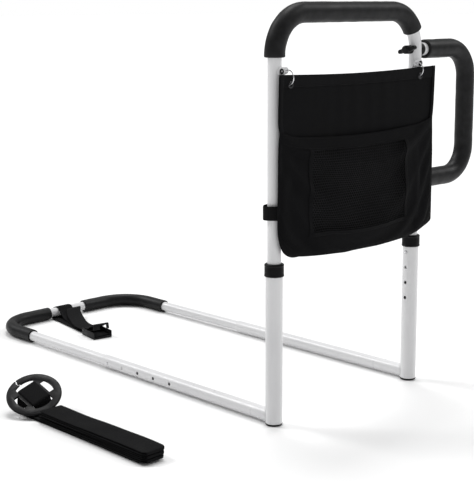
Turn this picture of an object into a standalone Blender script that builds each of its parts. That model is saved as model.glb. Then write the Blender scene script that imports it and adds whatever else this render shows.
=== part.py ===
"""Bed assist rail in metres, +Z up.

The origin is the middle of the left foot's underside. X runs across the rail to the right leg,
+Y runs along the base, under the mattress, and the storage bag hangs on the -Y side.
"""
import math

import bmesh
import bpy
from mathutils import Matrix, Vector

# Driving dimensions
SPACING = 0.400          # between the two upright axes
LEG_R = 0.0159           # lower legs, 1 1/4 inch tube
LEG_WALL = 0.0015
UPRIGHT_R = 0.0127       # handle and outer base tubes, 1 inch tube
TUBE_WALL = 0.0012
INNER_BASE_R = 0.0111    # sliding base frame, 7/8 inch tube
GAP = 0.0003             # clearance between touching pieces
SIDES = 16               # facets round a tube
SHARP_ANGLE = math.radians(35)
BEND_STEPS = 6           # facets along a quarter bend

# Legs and height adjustment
FOOT_LIP = 0.003
LEG_TOP = 0.300
COLLAR_LOW = 0.283
COLLAR_TOP = 0.307
COLLAR_R = 0.0180
HEIGHT_PITCH = 0.032
HEIGHT_HOLES = 4
BUTTON_Z = 0.272
BUTTON_R = 0.0030
BUTTON_HOLE_R = 0.0034
SPRING_THICK = 0.0006
HANDLE_END_Z = 0.222

# Top handle and side handle
HANDLE_TOP = 0.756
HANDLE_BEND = 0.075
FOAM_R = 0.0190
FOAM_GAP = 0.0005        # foam clears its tube a little more, round the bends
FOAM_BORE = UPRIGHT_R + FOAM_GAP
GRIP_START_Z = 0.678
GRIP_END_ANGLE = 60
ARM_TOP = 0.681
ARM_LOW = 0.419
ARM_START = 0.0175       # tube end, from the upright's axis
ARM_REACH = 0.171        # outer bar's axis, from the upright's axis
ARM_BEND = 0.060
ARM_GRIP_START = 0.0265
STUD_R = 0.0030
STUD_HOLE_R = 0.0036

# Base
BASE_Z = 0.015
BASE_MOUTH = 0.508
BASE_BUTTON_Y = 0.488
BASE_PITCH = 0.0508
BASE_HOLES = 5
BASE_INNER_END = 0.405
FAR_BAR_Y = 0.928
BASE_BEND = 0.085
PAD_R = 0.0150
PAD_START_Y = 0.780
PAD_END_X = 0.148        # pad end on the far bar, from the nearer leg's axis

# Storage bag
BAG_LEFT = -0.014
BAG_RIGHT = 0.430
BAG_TOP = 0.649
BAG_LOW = 0.318
BAG_CORNER = 0.045
BAG_RISE = 0.018          # how far the lower edge rises at the right end
BAG_RISE_RUN = 0.095
BAND_R = 0.0193
BAND_THICK = 0.0016
BAND_WIDTH = 0.026
LEFT_BAND_Z = 0.388
RIGHT_BAND_Z = 0.352
PANEL_Y = -0.0235
PANEL_THICK = 0.0025
POCKET_TOP = 0.548
POCKET_SAG = 0.008
POCKET_DEPTH = 0.032
POCKET_MOUTH = 0.014
POCKET_THICK = 0.0018
RING_X = 0.0150
RING_Y = -0.0190
RING_Z = 0.6427
RING_R = 0.0135
WIRE_R = 0.0010
EYELET_Z = 0.6300
TAB_HOLE_Z = 0.6552
TAB_Z = 0.654
TAB_X = 0.002

# Strap with the cam buckle on the far bar
WEB_WIDTH = 0.042
WEB_THICK = 0.0016
WEB_X = 0.175
WEB_LEAN = 0.168         # sideways drift per metre along the strap
WEB_FLOOR = 0.0054       # the strap's middle surface where it lies in the buckle
WEB_LOW = 0.0026         # and where it runs under the far bar
WEB_HIGH = 0.0050        # and where its end is sewn back over itself
WEB_SKEW = 0.018         # sideways shift as it goes round the bar
WRAP_STEPS = 12
WRAP_TURN = 215.0        # degrees round the bar
BUCKLE_AT = Vector((0.1395, 0.722, 0.0))
BUCKLE_HALF = 0.0237     # half its width
BUCKLE_LENGTH = 0.060
CHEEK = 0.0020
CHEEK_TOP = 0.0165
PIN_Y = 0.022            # lever pin, from the buckle's middle
PIN_Z = 0.0125
PIN_R = 0.0020
LEVER_HALF = 0.0205
LEVER_OPEN_LEFT = -0.0040    # the lever's window, between its arms
LEVER_OPEN_RIGHT = 0.0140
LEVER_BAR_Z = 0.0300         # underside of the bar across its tip

# Loose anchor strap
DISC_R = 0.053
DISC_THICK = 0.0045
DISC_RIM_R = 0.040       # inside of the rim
DISC_PLATE = 0.023       # half the square middle plate
DISC_SLOT_HALF = 0.0205
DISC_SLIT_ANGLE = math.radians(97)
DISC_AT = Vector((-0.280, 0.370, 0.035))
DISC_TILT = math.radians(30)
DISC_LEAN = Vector((-0.694, -0.720, 0.0))
ANCHOR_WEB = 0.050
ANCHOR_THICK = 0.0022
LOOP_WIDTH = 0.039
BUNDLE_X = -0.283
BUNDLE_NEAR = 0.006
BUNDLE_FAR = 0.316
BUNDLE_TAIL = 0.372
BUNDLE_LAYERS = 7

WHITE = ("white_powder_coat", (0.86, 0.86, 0.87), 0.35, 0.0)
FOAM = ("black_foam", (0.035, 0.035, 0.037), 0.75, 0.0)
PLASTIC = ("black_plastic", (0.02, 0.02, 0.022), 0.45, 0.0)
FABRIC = ("black_fabric", (0.016, 0.016, 0.018), 0.9, 0.0)
WEBBING = ("black_webbing", (0.014, 0.014, 0.015), 0.85, 0.0)
STEEL = ("bright_steel", (0.62, 0.62, 0.64), 0.25, 1.0)


def clear_scene():
    """Remove every object so that the script starts from nothing."""
    for thing in list(bpy.data.objects):
        bpy.data.objects.remove(thing, do_unlink=True)


def material(spec):
    """Return the Principled material that spec names, made once."""
    name, colour, roughness, metallic = spec
    made = bpy.data.materials.get(name)
    if made:
        return made
    made = bpy.data.materials.new(name)
    made.use_nodes = True
    shader = made.node_tree.nodes["Principled BSDF"]
    shader.inputs["Base Color"].default_value = (*colour, 1.0)
    shader.inputs["Roughness"].default_value = roughness
    shader.inputs["Metallic"].default_value = metallic
    return made


def make_object(name, bm, spec, origin=None):
    """Turn a bmesh into a named object; origin puts its pivot on a joint's axis."""
    bmesh.ops.recalc_face_normals(bm, faces=bm.faces)
    if origin:
        bm.transform(Matrix.Translation(-Vector(origin)))
    mesh = bpy.data.meshes.new(name)
    bm.to_mesh(mesh)
    bm.free()
    mesh.shade_smooth()
    mesh.set_sharp_from_angle(angle=SHARP_ANGLE)
    thing = bpy.data.objects.new(name, mesh)
    bpy.context.scene.collection.objects.link(thing)
    if origin:
        thing.location = origin
    if spec:
        mesh.materials.append(material(spec))
    return thing


def cut(target, cutter, operation="DIFFERENCE"):
    """Cut the target with a hidden wire cutter, or join the two."""
    cutter.hide_render = True
    cutter.display_type = "WIRE"
    boolean = target.modifiers.new(cutter.name, "BOOLEAN")
    boolean.operation = operation
    boolean.solver = "EXACT"
    boolean.object = cutter


def ring_at(bm, centre, across, up, radius, stretch=1.0, sides=SIDES):
    """One ring of vertices round a path point; stretch widens it in the plane of a bend."""
    verts = []
    for step in range(sides):
        angle = math.tau * (step + 0.5) / sides
        offset = across * math.cos(angle) * radius * stretch + up * math.sin(angle) * radius
        verts.append(bm.verts.new(centre + offset))
    return verts


def skin(bm, rings, closed=False):
    """Faces between successive rings."""
    pairs = list(zip(rings, rings[1:]))
    if closed:
        pairs.append((rings[-1], rings[0]))
    for low, high in pairs:
        for step in range(len(low)):
            after = (step + 1) % len(low)
            bm.faces.new((low[step], low[after], high[after], high[step]))


def sweep(path, side, outer, bore=0.0, ends=None):
    """Sweep a round tube along a flat path; side is the path plane's normal.

    ends is the outer radius at the two end stations, for rounded foam.
    """
    bm = bmesh.new()
    outside = []
    inside = []
    last = len(path) - 1
    for place, point in enumerate(path):
        before = (point - path[max(place - 1, 0)]).normalized()
        after = (path[min(place + 1, last)] - point).normalized()
        along = (before + after).normalized()
        stretch = 1.0
        if 0 < place < last:
            stretch = 1.0 / along.dot(before)
        across = along.cross(side).normalized()
        radius = outer
        if ends and place in (0, last):
            radius = ends
        outside.append(ring_at(bm, point, across, side, radius, stretch, SIDES))
        if bore:
            inside.append(ring_at(bm, point, across, side, bore, stretch, SIDES))
    if bore:
        skin(bm, outside + inside[::-1], closed=True)
    else:
        skin(bm, outside)
        bm.faces.new(outside[0])
        bm.faces.new(outside[-1])
    return bm


def turned(profile, centre, axis, ring=False, sides=SIDES):
    """Turn a (radius, height) profile round an axis; ring closes the profile on itself."""
    bm = bmesh.new()
    axis = Vector(axis).normalized()
    across = Vector((0, 1, 0)) if abs(axis.y) < 0.5 else Vector((0, 0, 1))
    up = axis.cross(across)
    rings = []
    for radius, height in profile:
        rings.append(ring_at(bm, Vector(centre) + axis * height, across, up, radius, 1.0, sides))
    skin(bm, rings, closed=ring)
    if not ring:
        bm.faces.new(rings[0])
        bm.faces.new(rings[-1])
    return bm


def rod(centre, axis, radius, start, stop, sides=12):
    """A plain round bar along an axis."""
    return turned([(radius, start), (radius, stop)], centre, axis, sides=sides)


def block(low, high):
    """A box between two corners."""
    bm = bmesh.new()
    bmesh.ops.create_cube(bm, size=1.0)
    size = Vector(high) - Vector(low)
    middle = (Vector(high) + Vector(low)) / 2
    bm.transform(Matrix.Translation(middle) @ Matrix.Diagonal((*size, 1.0)))
    return bm


def extruded(outline, push):
    """Extrude a flat closed outline of 3-D points along the vector push."""
    bm = bmesh.new()
    low = [bm.verts.new(point) for point in outline]
    high = [bm.verts.new(Vector(point) + push) for point in outline]
    bm.faces.new(low)
    bm.faces.new(high)
    skin(bm, [low, high])
    return bm


def joined(*pieces):
    """Several bmeshes in one, as separate bodies."""
    whole = bmesh.new()
    for piece in pieces:
        mesh = bpy.data.meshes.new("scratch")
        piece.to_mesh(mesh)
        piece.free()
        whole.from_mesh(mesh)
        bpy.data.meshes.remove(mesh)
    return whole


def arc(centre, radius, start, stop, first, second, steps):
    """Points on an arc in the plane of two unit vectors, angles in degrees."""
    points = []
    for step in range(steps + 1):
        angle = math.radians(start + (stop - start) * step / steps)
        points.append(Vector(centre) + radius * (first * math.cos(angle) + second * math.sin(angle)))
    return points


def sheet(name, rows, thickness, spec, origin=None):
    """A solid sheet from rows of points, thickened both ways about its middle surface."""
    bm = bmesh.new()
    grid = [[bm.verts.new(point) for point in row] for row in rows]
    for low, high in zip(grid, grid[1:]):
        for place in range(len(low) - 1):
            bm.faces.new((low[place], low[place + 1], high[place + 1], high[place]))
    thing = make_object(name, bm, spec, origin)
    solid = thing.modifiers.new("thickness", "SOLIDIFY")
    solid.thickness = thickness
    solid.offset = 0.0
    return thing


X_AXIS = Vector((1, 0, 0))
Y_AXIS = Vector((0, 1, 0))
Z_AXIS = Vector((0, 0, 1))
LEGS = (("left", 0.0, 1), ("right", SPACING, -1))   # name, axis x, direction to the middle


def build_legs():
    """Lower legs with their foot caps and collars."""
    for side, x, inward in LEGS:
        foot = Vector((x, 0, 0))
        path = [foot + Z_AXIS * (FOOT_LIP + GAP), foot + Z_AXIS * LEG_TOP]
        leg = make_object(f"{side}_leg_tube", sweep(path, Y_AXIS, LEG_R, LEG_R - LEG_WALL), WHITE)
        drills = []
        for hole in range(HEIGHT_HOLES):
            at = Vector((x, 0, BUTTON_Z - hole * HEIGHT_PITCH))
            drills.append(rod(at, X_AXIS * inward, BUTTON_HOLE_R, 0.008, 0.020))
        cut(leg, make_object(f"cut_{side}_height_holes", joined(*drills), None))

        plug_r = LEG_R - LEG_WALL - GAP
        cap = [(LEG_R - 0.0009, 0), (LEG_R, 0.0008), (LEG_R, FOOT_LIP), (plug_r, FOOT_LIP),
               (plug_r, 0.012), (plug_r - 0.0015, 0.014)]
        make_object(f"{side}_leg_cap", turned(cap, foot, Z_AXIS), PLASTIC)

        skirt = LEG_R + GAP
        bush = LEG_R - LEG_WALL - GAP
        bore = UPRIGHT_R + GAP
        over = LEG_TOP + GAP
        collar = [(skirt, COLLAR_LOW), (COLLAR_R - 0.0004, COLLAR_LOW), (COLLAR_R, COLLAR_LOW + 0.002),
                  (COLLAR_R, COLLAR_TOP - 0.003), (COLLAR_R - 0.0018, COLLAR_TOP), (bore, COLLAR_TOP),
                  (bore, COLLAR_LOW + 0.006), (bush, COLLAR_LOW + 0.006), (bush, over), (skirt, over)]
        make_object(f"{side}_leg_collar", turned(collar, foot, Z_AXIS, ring=True), PLASTIC)


def build_base_tubes():
    """Outer base tubes, coped and welded to the legs."""
    for side, x, inward in LEGS:
        start = Vector((x, 0.004, BASE_Z))
        path = [start, Vector((x, BASE_MOUTH, BASE_Z))]
        bm = sweep(path, Z_AXIS, UPRIGHT_R, UPRIGHT_R - TUBE_WALL)
        tube = make_object(f"{side}_base_tube", bm, WHITE)
        cope = rod(Vector((x, 0, 0)), Z_AXIS, LEG_R + 2 * GAP, -0.010, 0.040, sides=32)
        drills = [cope]
        for hole in range(BASE_HOLES):
            at = Vector((x, BASE_BUTTON_Y - hole * BASE_PITCH, BASE_Z))
            drills.append(rod(at, X_AXIS * -inward, BUTTON_HOLE_R, 0.006, 0.018))
        cut(tube, make_object(f"cut_{side}_base_holes", joined(*drills), None))


def handle_path(start_z, stop_angle):
    """The top handle's centre line from the left upright to an angle into the right bend."""
    bend_z = HANDLE_TOP - HANDLE_BEND
    left = Vector((HANDLE_BEND, 0, bend_z))
    right = Vector((SPACING - HANDLE_BEND, 0, bend_z))
    path = [Vector((0, 0, start_z))]
    path += arc(left, HANDLE_BEND, 180, 90, X_AXIS, Z_AXIS, BEND_STEPS)
    steps = round(BEND_STEPS * stop_angle / 90)
    path += arc(right, HANDLE_BEND, 90, 90 - stop_angle, X_AXIS, Z_AXIS, steps)
    return path


def build_top_handle():
    """Inverted U tube with its foam grip."""
    path = handle_path(HANDLE_END_Z, 90) + [Vector((SPACING, 0, HANDLE_END_Z))]
    tube = make_object("handle_tube", sweep(path, Y_AXIS, UPRIGHT_R, UPRIGHT_R - TUBE_WALL), WHITE)
    drills = []
    for _, x, inward in LEGS:
        drills.append(rod(Vector((x, 0, BUTTON_Z)), X_AXIS * inward, BUTTON_HOLE_R, 0.006, 0.015))
        drills.append(rod(Vector((x + inward * TAB_X, 0, TAB_Z)), -Y_AXIS, 0.0022, 0.006, 0.015))
    for z in (ARM_TOP, ARM_LOW):
        drills.append(rod(Vector((SPACING, 0, z)), X_AXIS, STUD_HOLE_R, -0.018, 0.018))
    cut(tube, make_object("cut_handle_holes", joined(*drills), None))

    grip = sweep(handle_path(GRIP_START_Z, GRIP_END_ANGLE), Y_AXIS, FOAM_R, FOAM_BORE, ends=FOAM_R - 0.0005)
    make_object("handle_grip", grip, FOAM)


def arm_path(start):
    """The side handle's centre line, from the top arm round to the bottom one."""
    near = SPACING + start
    bar = SPACING + ARM_REACH
    high = Vector((bar - ARM_BEND, 0, ARM_TOP - ARM_BEND))
    low = Vector((bar - ARM_BEND, 0, ARM_LOW + ARM_BEND))
    path = [Vector((near, 0, ARM_TOP))]
    path += arc(high, ARM_BEND, 90, 0, X_AXIS, Z_AXIS, BEND_STEPS)
    path += arc(low, ARM_BEND, 0, -90, X_AXIS, Z_AXIS, BEND_STEPS)
    path.append(Vector((near, 0, ARM_LOW)))
    return path


def build_side_handle():
    """D handle with its foam, end plugs, studs and wing knobs."""
    tube = sweep(arm_path(ARM_START), Y_AXIS, UPRIGHT_R, UPRIGHT_R - TUBE_WALL)
    make_object("side_handle_tube", tube, WHITE)
    grip = sweep(arm_path(ARM_GRIP_START), Y_AXIS, FOAM_R, FOAM_BORE, ends=FOAM_R - 0.0005)
    make_object("side_handle_grip", grip, FOAM)
    saddle = make_object("cut_saddle", rod(Vector((SPACING, 0, 0)), Z_AXIS, UPRIGHT_R + 2 * GAP,
                                           ARM_LOW - 0.05, ARM_TOP + 0.05, sides=32), None)
    bores = [rod(Vector((SPACING, 0, z)), X_AXIS, STUD_R + GAP, -0.032, 0.0365) for z in (ARM_TOP, ARM_LOW)]
    bore = make_object("cut_stud_bores", joined(*bores), None)
    for level, z in (("top", ARM_TOP), ("bottom", ARM_LOW)):
        axis = Vector((SPACING, 0, z))
        plug_r = UPRIGHT_R - TUBE_WALL - GAP
        plug = [(UPRIGHT_R, 0.0085), (UPRIGHT_R, ARM_START - GAP), (plug_r, ARM_START - GAP), (plug_r, 0.040)]
        piece = make_object(f"{level}_arm_plug", turned(plug, axis, X_AXIS), PLASTIC)
        cut(piece, saddle)
        cut(piece, bore)
        build_wing_knob(level, axis, bore)


def build_wing_knob(level, axis, bore):
    """Two-winged knob on its threaded stud, both turning about the stud's axis."""
    hub = turned([(0.0070, -0.0350), (0.0085, -0.0335), (0.0085, -0.0145), (0.0075, -0.0138)], axis, X_AXIS)
    knob = make_object(f"{level}_wing_knob", hub, PLASTIC, origin=axis)
    tilt = Matrix.Rotation(math.radians(-16), 3, "X")
    outline = []
    for half in (1, -1):
        for y, z in ((0.006, -0.0050), (0.018, -0.0042), (0.0215, 0.0), (0.018, 0.0042), (0.006, 0.0050)):
            outline.append(axis + tilt @ Vector((-0.0300, y * half, z * half)))
    wings = make_object(f"cut_{level}_wings", extruded(outline, X_AXIS * 0.0095), None)
    cut(knob, wings, "UNION")
    cut(knob, bore)
    stud = turned([(STUD_R, -0.0310), (STUD_R, 0.034), (STUD_R - 0.0008, 0.036)], axis, X_AXIS, sides=12)
    make_object(f"{level}_knob_stud", stud, STEEL, origin=axis)


def build_snap_button(name, axis, out, wall, along, reach):
    """Spring button that locks a telescoping pair, with its V spring inside the inner tube.

    wall is the outer tube's radius, reach the inner tube's bore, along the tube's direction.
    """
    tip = wall + 0.0022
    profile = [(BUTTON_R + 0.0012, reach - 0.0030), (BUTTON_R + 0.0012, reach - 0.0012),
               (BUTTON_R, reach - 0.0010), (BUTTON_R, tip - 0.0012), (BUTTON_R - 0.0010, tip)]
    make_object(f"{name}_button", turned(profile, axis, out, sides=12), STEEL, origin=axis)
    near = reach - 0.0037
    far = -(reach - 0.0011)
    width = along.cross(out) * 0.0030
    bend = (near, -0.008), (near, 0.010), (0.0012, 0.036), (0.0, 0.0372), (-0.0012, 0.036), (far, -0.008)
    rows = []
    for over, run in bend:
        middle = axis + out * over + along * run
        rows.append([middle - width, middle + width])
    sheet(f"{name}_spring", rows, SPRING_THICK, STEEL)


def build_snap_buttons():
    """Two buttons for the height and two for the base length."""
    for side, x, inward in LEGS:
        build_snap_button(f"{side}_height", Vector((x, 0, BUTTON_Z)), X_AXIS * inward,
                          LEG_R, Z_AXIS, UPRIGHT_R - TUBE_WALL)
        build_snap_button(f"{side}_base", Vector((x, BASE_BUTTON_Y, BASE_Z)), X_AXIS * -inward,
                          UPRIGHT_R, Y_AXIS, INNER_BASE_R - TUBE_WALL)


def base_corner(x, inward):
    """Corner of the sliding base frame at the leg of axis x, from its side to the far bar."""
    centre = Vector((x + inward * BASE_BEND, FAR_BAR_Y - BASE_BEND, BASE_Z))
    return arc(centre, BASE_BEND, 180, 90, X_AXIS * inward, Y_AXIS, BEND_STEPS)


def build_base_frame():
    """Sliding U frame and its two foam pads."""
    path = [Vector((0, BASE_INNER_END, BASE_Z))] + base_corner(0.0, 1)
    path += base_corner(SPACING, -1)[::-1] + [Vector((SPACING, BASE_INNER_END, BASE_Z))]
    tube = sweep(path, Z_AXIS, INNER_BASE_R, INNER_BASE_R - TUBE_WALL)
    frame = make_object("base_u_tube", tube, WHITE)
    drills = []
    for side, x, inward in LEGS:
        at = Vector((x, BASE_BUTTON_Y, BASE_Z))
        drills.append(rod(at, X_AXIS * -inward, BUTTON_HOLE_R, 0.005, 0.014))
        pad = [Vector((x, PAD_START_Y, BASE_Z))] + base_corner(x, inward)
        pad.append(Vector((x + inward * PAD_END_X, FAR_BAR_Y, BASE_Z)))
        foam = sweep(pad, Z_AXIS, PAD_R, INNER_BASE_R + FOAM_GAP, ends=PAD_R - 0.0005)
        make_object(f"{side}_base_pad", foam, FOAM)
    cut(frame, make_object("cut_base_button_holes", joined(*drills), None))


def strap_rows(points, width):
    """Rows across a strap whose (run, height, middle x) points start at the far bar."""
    rows = []
    for run, z, x in points:
        rows.append([Vector((x + part * width / 2, FAR_BAR_Y - run, z)) for part in (-1, 1)])
    return rows


def build_buckle_strap():
    """Webbing that runs under the far bar, round it and back over itself, and its loose tail."""
    bar = Vector((0, FAR_BAR_Y, BASE_Z))
    wrap = INNER_BASE_R + 2 * GAP + WEB_THICK / 2
    line = [(0.232, WEB_FLOOR, 0.0), (0.172, WEB_FLOOR, 0.0), (0.152, WEB_LOW, 0.0), (0.060, WEB_LOW, 0.0)]
    for step in range(WRAP_STEPS + 1):
        share = step / WRAP_STEPS
        angle = math.radians(-90 + WRAP_TURN * share)
        line.append((-wrap * math.cos(angle), BASE_Z + wrap * math.sin(angle), WEB_SKEW * share))
    line += [(0.020, 0.0160, 0.0175), (0.034, 0.0098, 0.0160), (0.052, 0.0068, 0.0140),
             (0.080, WEB_HIGH, 0.0100), (0.142, WEB_HIGH, 0.0)]
    points = [(run, z, WEB_X - WEB_LEAN * run + skew) for run, z, skew in line]
    sheet("buckle_strap", strap_rows(points, WEB_WIDTH), WEB_THICK, WEBBING, origin=bar)

    tail = [(0.021, 0.0225, 0.208), (0.032, 0.0235, 0.201), (0.052, 0.0180, 0.187), (0.082, 0.0125, 0.173),
            (0.122, 0.0090, 0.156), (0.168, 0.0090, 0.147)]
    sheet("buckle_strap_tail", strap_rows(tail, WEB_WIDTH), WEB_THICK, WEBBING, origin=bar)


def build_buckle():
    """Cam buckle: a channel frame, a pin through its cheeks and a lever standing open on it."""
    turn = Matrix.Translation(BUCKLE_AT) @ Matrix.Rotation(-math.atan(WEB_LEAN), 4, "Z")
    half = BUCKLE_LENGTH / 2
    wide = BUCKLE_HALF
    inner = BUCKLE_HALF - CHEEK
    outline = [(-wide, 0.0006), (wide, 0.0006), (wide, CHEEK_TOP), (inner, CHEEK_TOP), (inner, 0.0040),
               (-inner, 0.0040), (-inner, CHEEK_TOP), (-wide, CHEEK_TOP)]
    channel = extruded([Vector((x, -half, z)) for x, z in outline], Y_AXIS * BUCKLE_LENGTH)
    channel.transform(turn)
    frame = make_object("buckle_frame", channel, PLASTIC)
    pin_at = Vector((0, PIN_Y, PIN_Z))
    bore = rod(pin_at, X_AXIS, PIN_R + GAP, -0.03, 0.03)
    bore.transform(turn)
    bore = make_object("cut_pin_bore", bore, None)
    cut(frame, bore)
    pin = rod(pin_at, X_AXIS, PIN_R, -wide - 0.0004, wide + 0.0004)
    pin.transform(turn)
    make_object("buckle_pin", pin, STEEL)
    arm = arc(pin_at, 0.0055, -70, 110, Y_AXIS, Z_AXIS, 9)
    for y, z in ((-0.0170, 0.0335), (-0.0215, 0.0325), (-0.0240, 0.0205), (-0.0218, 0.0200),
                 (-0.0190, 0.0300), (0.0150, 0.0150), (0.0172, 0.0098)):
        arm.append(Vector((0, y, z)))
    blade = extruded([point - X_AXIS * LEVER_HALF for point in arm], X_AXIS * 2 * LEVER_HALF)
    blade.transform(turn)
    lever = make_object("buckle_lever", blade, PLASTIC, origin=turn @ pin_at)
    cut(lever, bore)
    opening = block(Vector((LEVER_OPEN_LEFT, -0.0150, 0)), Vector((LEVER_OPEN_RIGHT, 0.0120, 0.05)))
    lip = block(Vector((LEVER_OPEN_LEFT, -0.0300, 0)), Vector((LEVER_OPEN_RIGHT, 0.0120, LEVER_BAR_Z)))
    for name, bm in (("cut_lever_opening", opening), ("cut_lever_lip", lip)):
        bm.transform(turn)
        cut(lever, make_object(name, bm, None))


def build_bag():
    """Storage bag: back panel, bulging front pocket, bands and hanging hardware."""
    columns = 16
    panel = []
    pocket = []
    for column in range(columns + 1):
        share = column / columns
        x = BAG_LEFT + (BAG_RIGHT - BAG_LEFT) * share
        panel.append([Vector((x, PANEL_Y, bag_bottom(x))), Vector((x, PANEL_Y, BAG_TOP))])
        pocket.append(pocket_column(share))
    back = sheet("bag_back_panel", panel, PANEL_THICK, FABRIC)
    sheet("bag_front_pocket", pocket, POCKET_THICK, FABRIC)
    holes = []
    for _, x, inward in LEGS:
        eye = Vector((x + inward * RING_X, PANEL_Y, EYELET_Z))
        holes.append(rod(eye, Y_AXIS, 0.0044, -0.004, 0.004))
    cut(back, make_object("cut_eyelet_holes", joined(*holes), None))
    for side, x, inward in LEGS:
        build_hanger(side, x, inward)
    for side, x, low in (("left", 0.0, LEFT_BAND_Z), ("right", SPACING, RIGHT_BAND_Z)):
        rim = BAND_R + BAND_THICK
        band = [(BAND_R, 0), (rim, 0), (rim, BAND_WIDTH), (BAND_R, BAND_WIDTH)]
        make_object(f"bag_{side}_band", turned(band, Vector((x, 0, low)), Z_AXIS, ring=True), WEBBING)


def bag_bottom(x):
    """Height of the bag's lower edge: a round left corner and a rising right end."""
    if x < BAG_LEFT + BAG_CORNER:
        short = BAG_LEFT + BAG_CORNER - x
        return BAG_LOW + BAG_CORNER - math.sqrt(BAG_CORNER ** 2 - short ** 2)
    rise_from = BAG_RIGHT - BAG_RISE_RUN
    if x > rise_from:
        return BAG_LOW + BAG_RISE * ((x - rise_from) / BAG_RISE_RUN) ** 2
    return BAG_LOW


def pocket_column(share):
    """One column of the pocket, bottom seam to mouth: it bulges most near its lower third."""
    x = BAG_LEFT + 0.003 + (BAG_RIGHT - BAG_LEFT - 0.006) * share
    seam = PANEL_Y - PANEL_THICK / 2 - GAP - POCKET_THICK / 2
    width_bulge = math.sin(math.pi * share) ** 0.45 if 0 < share < 1 else 0.0
    low = bag_bottom(x) + 0.002
    top = POCKET_TOP - POCKET_SAG * math.sin(math.pi * share)
    points = []
    for height, out in ((0, 0), (0.02, 0.55), (0.08, 0.9), (0.22, 1.0), (0.45, 0.92), (0.75, 0.62), (1, 0)):
        reach = POCKET_DEPTH * out + POCKET_MOUTH * height ** 2
        points.append(Vector((x, seam - reach * width_bulge, low + (top - low) * height)))
    return points


def build_hanger(side, x, inward):
    """Tab screwed to the upright, a wire ring through it and the bag's eyelet."""
    face = UPRIGHT_R + GAP
    thick = 0.0018
    screw_at = Vector((x + inward * TAB_X, 0, TAB_Z))
    lobe_at = Vector((x + inward * RING_X, 0, TAB_HOLE_Z))
    outline = arc(screw_at - Y_AXIS * face, 0.008, 75, 285, X_AXIS * inward, Z_AXIS, 8)
    outline += arc(lobe_at - Y_AXIS * face, 0.006, -90, 75, X_AXIS * inward, Z_AXIS, 7)
    tab = make_object(f"{side}_bag_bracket", extruded(outline, -Y_AXIS * thick), WHITE)
    holes = joined(rod(screw_at, -Y_AXIS, 0.0021, 0.008, 0.020), rod(lobe_at, -Y_AXIS, 0.0022, 0.008, 0.020))
    cut(tab, make_object(f"cut_{side}_tab_holes", holes, None))

    head = face + thick + GAP
    screw = [(0.0018, 0.0070), (0.0018, head), (0.0037, head), (0.0037, head + 0.0012),
             (0.0022, head + 0.0022)]
    make_object(f"{side}_bracket_screw", turned(screw, screw_at, -Y_AXIS, sides=12), PLASTIC)

    centre = Vector((x + inward * RING_X, RING_Y, RING_Z))
    bm = bmesh.new()
    rings = []
    for step in range(20):
        angle = math.tau * step / 20
        outward = Y_AXIS * math.cos(angle) + Z_AXIS * math.sin(angle)
        rings.append(ring_at(bm, centre + outward * RING_R, outward, X_AXIS, WIRE_R, 1.0, 8))
    skin(bm, rings, closed=True)
    make_object(f"{side}_hook_ring", bm, STEEL)

    eye = Vector((x + inward * RING_X, PANEL_Y, EYELET_Z))
    deep = PANEL_THICK / 2 + GAP
    spool = [(0.0030, -deep - 0.0008), (0.0064, -deep - 0.0008), (0.0064, -deep), (0.0041, -deep),
             (0.0041, deep), (0.0064, deep), (0.0064, deep + 0.0008), (0.0030, deep + 0.0008)]
    make_object(f"{side}_bag_eyelet", turned(spool, eye, Y_AXIS, ring=True), STEEL)


def build_anchor():
    """Loose anchor: a slotted disc threaded on a long folded strap."""
    plate = turned([(DISC_R - 0.001, -DISC_THICK / 2), (DISC_R, -DISC_THICK / 2 + 0.001),
                    (DISC_R, DISC_THICK / 2 - 0.001), (DISC_R - 0.001, DISC_THICK / 2)],
                   (0, 0, 0), Z_AXIS, sides=36)
    disc = make_object("anchor_disc", plate, PLASTIC)
    openings = []
    spread = math.degrees(math.asin(DISC_SLOT_HALF / DISC_RIM_R))
    for across, along in ((X_AXIS, Y_AXIS), (Y_AXIS, -X_AXIS), (X_AXIS, -Y_AXIS), (Y_AXIS, X_AXIS)):
        outline = arc((0, 0, -0.01), DISC_RIM_R, 90 - spread, 90 + spread, across, along, 5)
        for part in (-1, 1):
            outline.append(Vector((0, 0, -0.01)) + across * DISC_SLOT_HALF * part + along * DISC_PLATE)
        openings.append(extruded(outline, Z_AXIS * 0.02))
    slots = make_object("cut_disc_openings", joined(*openings), None)
    zigzag = ((0.036, -0.0015), (0.0415, -0.0015), (0.0415, 0.0015), (0.0465, 0.0015), (0.0465, -0.0015),
              (0.058, -0.0015), (0.058, 0.0015), (0.0495, 0.0015), (0.0495, 0.0045), (0.0385, 0.0045),
              (0.0385, 0.0015), (0.036, 0.0015))
    slit = make_object("cut_disc_slit", extruded([(r, t, -0.01) for r, t in zigzag], Z_AXIS * 0.02), None)
    cut(disc, slots)
    cut(disc, slit)
    tip = Matrix.Rotation(DISC_TILT, 4, Z_AXIS.cross(DISC_LEAN).normalized())
    placed = Matrix.Translation(DISC_AT) @ tip
    for thing in (disc, slots):
        thing.matrix_world = placed
    slit.matrix_world = placed @ Matrix.Rotation(DISC_SLIT_ANGLE, 4, "Z")

    rows = []
    for along, up in ((0.0260, -0.0080), (0.0260, 0.0016), (0.0235, 0.0040), (-0.0235, 0.0040),
                      (-0.0260, 0.0016), (-0.0260, -0.0060), (-0.0320, -0.0090)):
        rows.append([placed @ Vector((part * LOOP_WIDTH / 2, along, up)) for part in (-1, 1)])
    heel = rows[0]
    for back, z in ((0.0040, 0.0200), (0.0030, 0.0090), (0.0, 0.0030)):
        rows.insert(0, [Vector((point.x, point.y + back, z)) for point in heel])
    sheet("anchor_strap_loop", rows, ANCHOR_THICK, WEBBING)
    sheet("anchor_strap", bundle_rows(), ANCHOR_THICK, WEBBING)


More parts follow.
